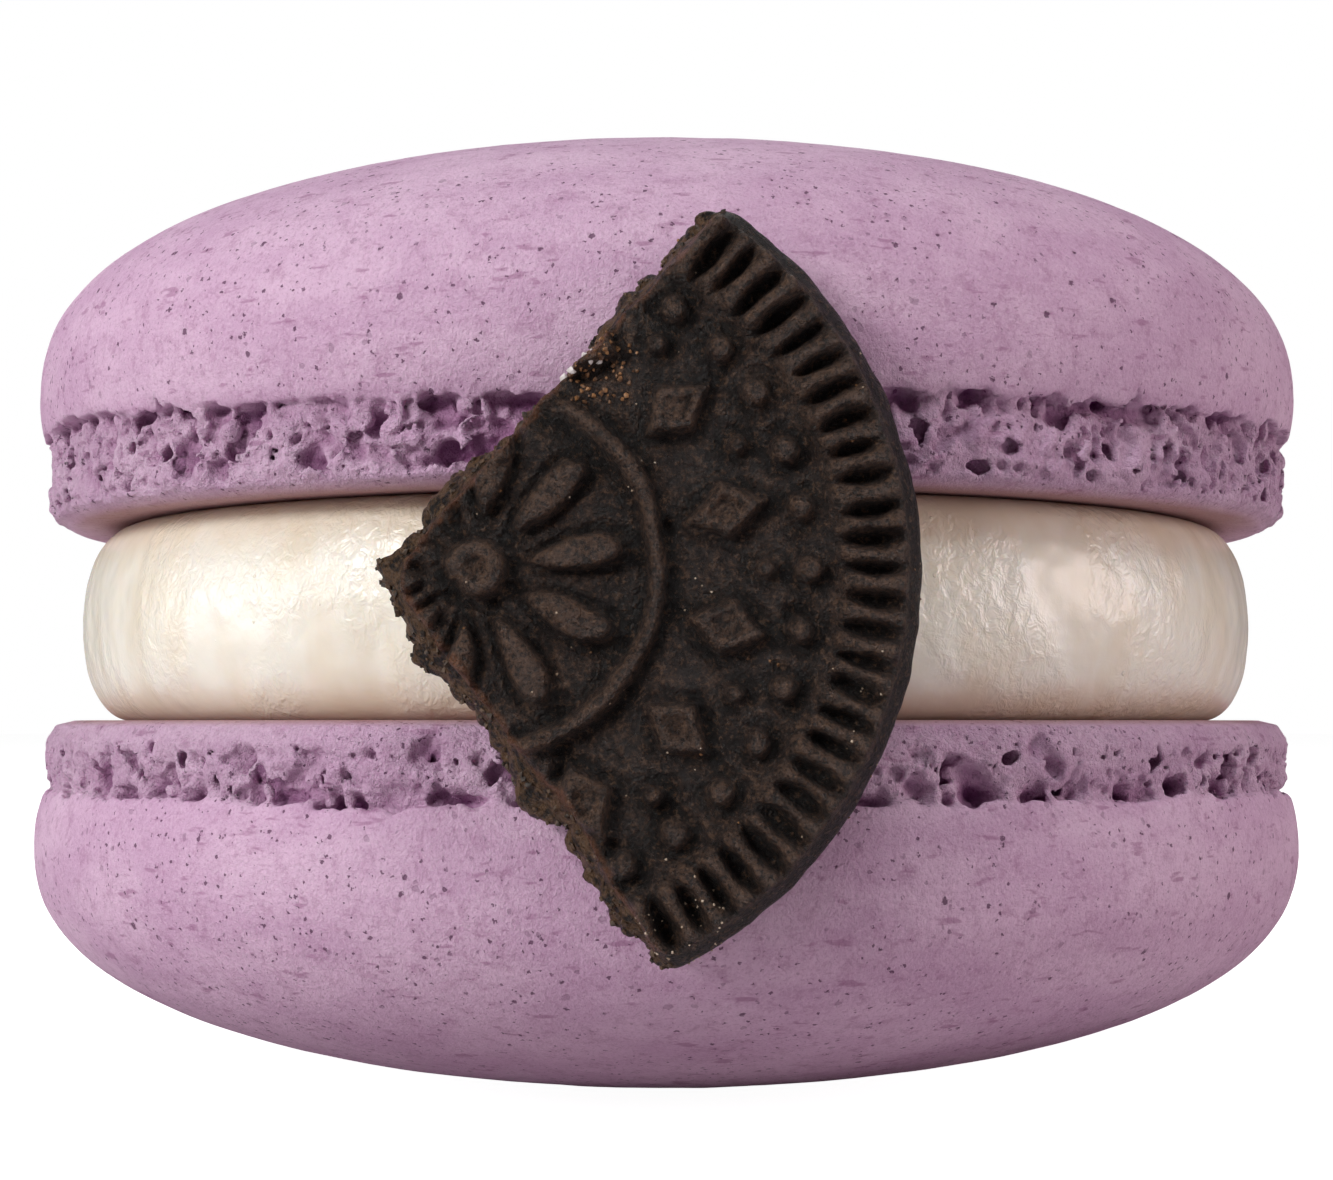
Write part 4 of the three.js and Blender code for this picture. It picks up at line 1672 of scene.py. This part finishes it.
    def build(self, material: bpy.types.Material) -> bpy.types.Object:
        """Makes the wafer.

        Args:
            material: the cocoa biscuit.

        Returns:
            The piece.
        """
        grain = Grain(self.seed, 64)
        xs = np.arange(-4.2, self.radius + 0.6, self.step)
        ys = np.arange(-0.35, self.thickness + 0.85, self.step * 1.1)
        zs = np.arange(-self.radius - 0.6, self.radius - 1.6, self.step)
        x, y, z = np.meshgrid(xs, ys, zs, indexing="ij")
        points = np.stack([x, y, z], axis=-1).astype(np.float32)
        flat_x, flat_z = np.meshgrid(xs, zs, indexing="ij")
        flat = np.stack([flat_x, np.zeros_like(flat_x), flat_z], axis=-1)
        front = self.thickness + self.front_height(flat, grain)[:, None, :] - y
        distance = np.hypot(x, z)
        bevel = 0.5 * ramp(y, 1.7, self.thickness + 0.1) + 0.3 * ramp(y, 0.6, -0.1)
        rim = self.radius - bevel - distance + 0.05 * grain.rough(points + 20, 0.8, 3)
        broken = self.break_distance(x, z, self.back_share(y))
        layered = ramp(y + 0.15 * grain.at(points + 13, 1.5), 1.9, 1.5)
        crumbs = 0.55 - np.minimum(Cells(self.seed + 1).away(points, 0.75), 0.8)
        crumbly = 0.5 * crumbs + 0.16 * grain.rough(points + 9, 0.5, 2)
        crag = 0.12 * grain.rough(points, 0.9, 3) + layered * crumbly
        outline = soft_min(rim, broken + crag, 0.7)
        solid = soft_min(front, outline, 0.14)
        solid = soft_min(solid, y + 0.02 * grain.rough(points + 50, 0.5, 2), 0.15)
        net = Net.around(solid.astype(np.float32))
        surface = Surface(net.vertices, [net.faces])
        grid = enumerate((xs, ys, zs))
        placed = [np.interp(net.vertices[:, i], np.arange(len(line)), line) for i, line in grid]
        local = np.stack(placed, axis=1)
        self.describe(surface, local, grain)
        surface.vertices = np.stack(
            [local[:, 0] + self.centre_x, self.back - local[:, 1], local[:, 2] + self.centre_z], axis=1
        )
        piece = surface.make("wafer_biscuit", material, turned=True)
        self.drop_loose(piece)
        thin(piece)
        claim(piece, Slot.COCOA, "wafer")
        return piece

    def describe(self, surface: Surface, local: Array, grain: Grain) -> None:
        """Records, for the finish, what stands out and what is broken.

        Args:
            surface: the wafer's surface.
            local: its vertices in the disc's own axes.
            grain: the noise that roughens the edge between them.
        """
        x, y, z = local.T
        inside = self.break_distance(x, z, self.back_share(y))
        fray = 0.1 * grain.rough(local + 3, 0.5, 2)
        near_front = ramp(y, self.thickness - 0.75, self.thickness - 0.3)
        # raised drives wear with painted light on the figures and painted shade in recesses.
        surface.values["raised"] = np.clip((y - self.thickness) / self.relief, -1, 1)
        surface.values["broken"] = ramp(inside + fray, 0.34, 0.16) * (1 - near_front)
        surface.values["rust"] = ramp(inside + fray, 0.26, 0.1) * near_front
        surface.values["edge"] = ramp(np.hypot(x, z), self.radius - 0.62, self.radius - 0.4)

    def drop_loose(self, piece: bpy.types.Object) -> None:
        """Removes bits of mesh that aren't joined to the wafer.

        Args:
            piece: the wafer, whose mesh is changed.
        """
        mesh = piece.data
        parent = np.arange(len(mesh.vertices))
        edges = np.zeros(2 * len(mesh.edges), dtype=np.int32)
        mesh.edges.foreach_get("vertices", edges)
        first, second = edges.reshape(-1, 2).T
        while True:
            lower = np.minimum(parent[first], parent[second])
            before = parent.copy()
            np.minimum.at(parent, first, lower)
            np.minimum.at(parent, second, lower)
            parent = parent[parent]
            if np.array_equal(before, parent):
                break
        labels, sizes = np.unique(parent, return_counts=True)
        doomed = parent != labels[np.argmax(sizes)]
        if doomed.any():
            work = bmesh.new()
            work.from_mesh(mesh)
            work.verts.ensure_lookup_table()
            bmesh.ops.delete(work, geom=[work.verts[i] for i in np.flatnonzero(doomed)], context="VERTS")
            work.to_mesh(mesh)
            work.free()


# --------------------------------------------------------------------------------------------------
# Crumbs


@dataclass
class Crumbs:
    """Loose grains of one kind, scattered on a piece's front by a Geometry Nodes tree.

    They lie within reach of a middle, or where the piece's value named in needs is high, or else in
    patches all over. Density is in grains for each square mm, and the sizes are across.
    """

    name: str
    slot: Slot
    material: bpy.types.Material
    density: float
    smallest: float
    largest: float
    seed: int
    middle: tuple[float, float, float] | None = None
    reach: float = 2.0
    needs: str | None = None

    def build(self, host: bpy.types.Object) -> bpy.types.Object:
        """Scatters the grains.

        Args:
            host: the piece that they lie on.

        Returns:
            The piece of all the grains.
        """
        sizes = {
            "Grains for each square mm": self.density,
            "Smallest": self.smallest * MM,
            "Largest": self.largest * MM,
            "Seed": self.seed,
        }
        g = GeometryGraph(self.name, sizes)
        density = g.product(g.size("Grains for each square mm"), 1 / MM**2)
        place = g.add("GeometryNodeInputPosition").outputs[0]
        normal = g.add("ShaderNodeSeparateXYZ", {0: g.add("GeometryNodeInputNormal").outputs[0]})
        chance = g.ramp(normal.outputs[1], 0.2, -0.1)
        if not (self.middle or self.needs):
            chance = g.product(chance, g.ramp(g.noise(place, 1.7), 0.0, 0.5))
        if self.middle:
            centre = tuple(c * MM for c in self.middle)
            away = g.vector("DISTANCE", place, centre).outputs["Value"]
            chance = g.product(chance, g.ramp(away, self.reach * MM, 0.3 * self.reach * MM))
        if self.needs:
            named = g.add("GeometryNodeInputNamedAttribute", {"Name": self.needs}, data_type="FLOAT")
            chance = g.product(chance, g.ramp(named.outputs[0], 0.3, 0.9))
        seed = g.size("Seed")
        spread = {"Mesh": g.input.outputs[0], "Density": g.product(density, chance), "Seed": seed}
        points = g.add("GeometryNodeDistributePointsOnFaces", spread).outputs[0]
        turns = {0: (0.0, 0.0, 0.0), 1: (TURN, TURN, TURN), "Seed": seed}
        turned = g.add("FunctionNodeRandomValue", turns, data_type="FLOAT_VECTOR").outputs[0]
        across = {2: g.size("Smallest"), 3: g.size("Largest"), "Seed": seed}
        sized = g.add("FunctionNodeRandomValue", across, data_type="FLOAT").outputs[1]
        laid = {"Points": points, "Instance": self.lump(g), "Rotation": turned}
        laid["Scale"] = g.product(sized, 0.5)
        g.end(g.add("GeometryNodeInstanceOnPoints", laid).outputs[0], self.material)
        piece = g.apply(self.name, host.data.copy())
        claim(piece, self.slot)
        return piece

    def lump(self, g: GeometryGraph) -> bpy.types.NodeSocket:
        """Adds one lumpy grain.

        Args:
            g: the tree.

        Returns:
            A ball of 20 faces, pushed out of shape, with a radius of about 1.
        """
        ball = g.add("GeometryNodeMeshIcoSphere", {"Radius": 1.0, "Subdivisions": 1}).outputs[0]
        noise = g.add("ShaderNodeTexNoise", {"Scale": 1.1, "Detail": 1.0}).outputs["Color"]
        pushed = g.scaled(g.vector("SUBTRACT", noise, (0.5, 0.5, 0.5)).outputs[0], 1.8)
        return g.add("GeometryNodeSetPosition", {"Geometry": ball, "Offset": pushed}).outputs[0]


# --------------------------------------------------------------------------------------------------
# Studio


@dataclass
class Studio:
    """The pale floor, the soft lights and the camera.

    The camera's focal length and the horizon's height in the picture are in the photo's pixels.
    """

    camera_distance: float = 104.0
    camera_height: float = 14.4
    picture_width: int = 1333
    focal_length: float = 2438.8
    below_middle: float = 132.0
    sensor_width: float = 36.0
    lamp_distance: float = 0.6
    aim_height: float = 18.0
    floor_radius: float = 3000.0
    floor_glow: float = 1.0
    haze: float = 0.03

    def lamp(
        self,
        name: str,
        turn: float,
        rise: float,
        power: float,
        size: float,
        colour: Sequence[float] = (1, 1, 1),
    ) -> None:
        """Adds a soft square lamp that faces the macaron.

        Args:
            name: its name.
            turn: its direction in degrees round the macaron, to the right of the front.
            rise: its direction in degrees above the floor.
            power: in watts.
            size: its side, in metres.
            colour: its colour.
        """
        data = bpy.data.lights.new(name, "AREA")
        data.energy, data.size, data.color = power, size, colour
        lamp = bpy.data.objects.new(name, data)
        side, up = math.radians(turn), math.radians(rise)
        way = Vector((math.sin(side) * math.cos(up), -math.cos(side) * math.cos(up), math.sin(up)))
        lamp.location = Vector((0, 0, self.aim_height * MM)) + self.lamp_distance * way
        lamp.rotation_euler = (-way).to_track_quat("-Z", "Y").to_euler()
        bpy.context.scene.collection.objects.link(lamp)

    def floor(self) -> None:
        """Adds the floor, a wide disc under the macaron that lights it from below only faintly."""
        count = 96
        angles = TURN * np.arange(count) / count
        x, y = self.floor_radius * np.cos(angles), self.floor_radius * np.sin(angles)
        surface = Surface(np.stack([x, y, np.zeros(count)], axis=1))
        surface.close(np.arange(count), np.zeros(3))
        g = ShaderGraph("pale floor")
        seen = g.add("ShaderNodeLightPath").outputs["Is Camera Ray"]
        tint = g.mix(g.noise(400.0, 1), srgb(238, 238, 240), srgb(242, 242, 242))
        tint = g.mix(seen, srgb(208, 202, 204), tint)
        g.tree.links.new(g.product(seen, self.floor_glow), g.shader.inputs["Emission Strength"])
        surface.make("floor", g.finish(tint, Roughness=0.9, Emission_Color=srgb(250, 250, 250)))

    def world(self) -> None:
        """Sets a background that looks white and gives little light."""
        world = bpy.data.worlds.new("studio")
        world.use_nodes = True
        g = Graph(world.node_tree)
        back = world.node_tree.nodes["Background"]
        back.inputs[0].default_value = (1.0, 1.0, 1.0, 1.0)
        seen = g.add("ShaderNodeLightPath").outputs["Is Camera Ray"]
        world.node_tree.links.new(g.ramp(seen, 0.0, 1.0, self.haze, 1.0), back.inputs[1])
        bpy.context.scene.world = world

    def build(self) -> None:
        """Sets everything up."""
        self.floor()
        self.world()
        bpy.context.scene.view_settings.view_transform = "Standard"
        self.lamp("left side", -82, 3, 1.5, 0.3)
        self.lamp("key", -46, 25, 1.98, 0.16, (1.0, 0.985, 0.965))
        self.lamp("front", 12, 64, 1.25, 0.3)
        self.lamp("right side", 82, 8, 1.62, 0.3, (1.0, 0.86, 0.85))
        self.lamp("back", 180, 50, 0.4, 0.3)
        data = bpy.data.cameras.new("camera")
        data.sensor_width = self.sensor_width
        data.lens = self.sensor_width * self.focal_length / self.picture_width
        data.clip_start, data.clip_end = 0.005, 20.0
        camera = bpy.data.objects.new("camera", data)
        camera.location = (0, -self.camera_distance * MM, self.camera_height * MM)
        camera.rotation_euler = (math.pi / 2 + math.atan(self.below_middle / self.focal_length), 0, 0)
        bpy.context.scene.collection.objects.link(camera)
        bpy.context.scene.camera = camera


def scatter_crumbs(wafer: bpy.types.Object) -> None:
    """Scatters the loose crumbs and the sugar on the wafer.

    Args:
        wafer: the wafer.
    """
    golden = GrainFinish("golden crumb", srgb(150, 106, 66), srgb(82, 54, 34)).material()
    pale = GrainFinish("pale crumb", srgb(206, 188, 166), srgb(160, 138, 116), 0.3).material()
    sugar = GrainFinish("sugar", srgb(236, 230, 228), srgb(206, 198, 196), 0.22).material()
    cocoa = GrainFinish("cocoa crumb", srgb(86, 64, 44), srgb(38, 28, 21), 0.6).material()
    upper_break, by_upper_break, lower_tip = (-2.1, -28.6, 25.4), (-2.6, -28.5, 25.6), (0.6, -28.7, 7.2)
    kinds = (
        Crumbs("golden_crumbs", Slot.COCOA, golden, 0.3, 0.05, 0.13, 5),
        Crumbs("pale_crumbs", Slot.COCOA, pale, 0.35, 0.04, 0.1, 8),
        Crumbs("cocoa_crumbs", Slot.COCOA, cocoa, 5.0, 0.08, 0.28, 6, needs="broken"),
        Crumbs("golden_cluster", Slot.COCOA, golden, 16.0, 0.06, 0.2, 9, upper_break, 1.7),
        Crumbs("tip_crumbs", Slot.COCOA, pale, 3.0, 0.05, 0.13, 10, lower_tip, 2.6),
        Crumbs("sugar_grains", Slot.COCOA, sugar, 6.0, 0.14, 0.32, 7, by_upper_break, 0.9),
    )
    for crumbs in kinds:
        crumbs.build(wafer)


def main() -> None:
    logging.basicConfig(level=logging.INFO, format="%(name)s: %(message)s")
    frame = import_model()
    log.info("%d packed nodes to dress", len(frame["nodes"]))
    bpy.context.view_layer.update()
    Studio().build()
    meringue = MeringueFinish().material()
    lower_flat, upper_flat, clearance = 14.4, 14.4 + 7.84, 0.02
    lower_foot = FootCharacter(
        seed=11,
        caves=66,
        pits=50,
        pores=150,
        craters=6,
        nodules=130,
        drips=24,
        smooth_below=1.1,
        lump_depth=0.24,
        band_depth=0.0,
        openness=0.86,
        ribbed_side=0.3,
    )
    upper_foot = FootCharacter(
        seed=47,
        caves=70,
        pits=90,
        pores=160,
        craters=12,
        nodules=200,
        drips=40,
        smooth_below=0.2,
        lump_depth=0.36,
        band_depth=0.14,
        ribbed_side=1.0,
        cracks=tuple(FRONT + math.radians(turn) for turn in (-44.5, 39.5, 150)),
    )
    MeringueShell(
        name="shell_lower_meringue",
        node="shell_lower",
        height=14.52,
        equator=4.77,
        flat_level=lower_flat,
        upside_down=True,
        cap_depth=0.12,
        foot=lower_foot,
    ).build(meringue)
    CreamFilling(lower_flat + clearance, 7.8).build(CreamFinish(lower_flat, upper_flat).material())
    MeringueShell(
        name="shell_upper_meringue",
        node="shell_upper",
        height=15.26,
        equator=5.09,
        flat_level=upper_flat,
        upside_down=False,
        cap_depth=0.02,
        foot=upper_foot,
        lip_height=2.85,
        lip_rise=0.75,
    ).build(meringue)
    wafer = CocoaWafer().build(CocoaFinish().material())
    scatter_crumbs(wafer)


if __name__ == "__main__":
    main()
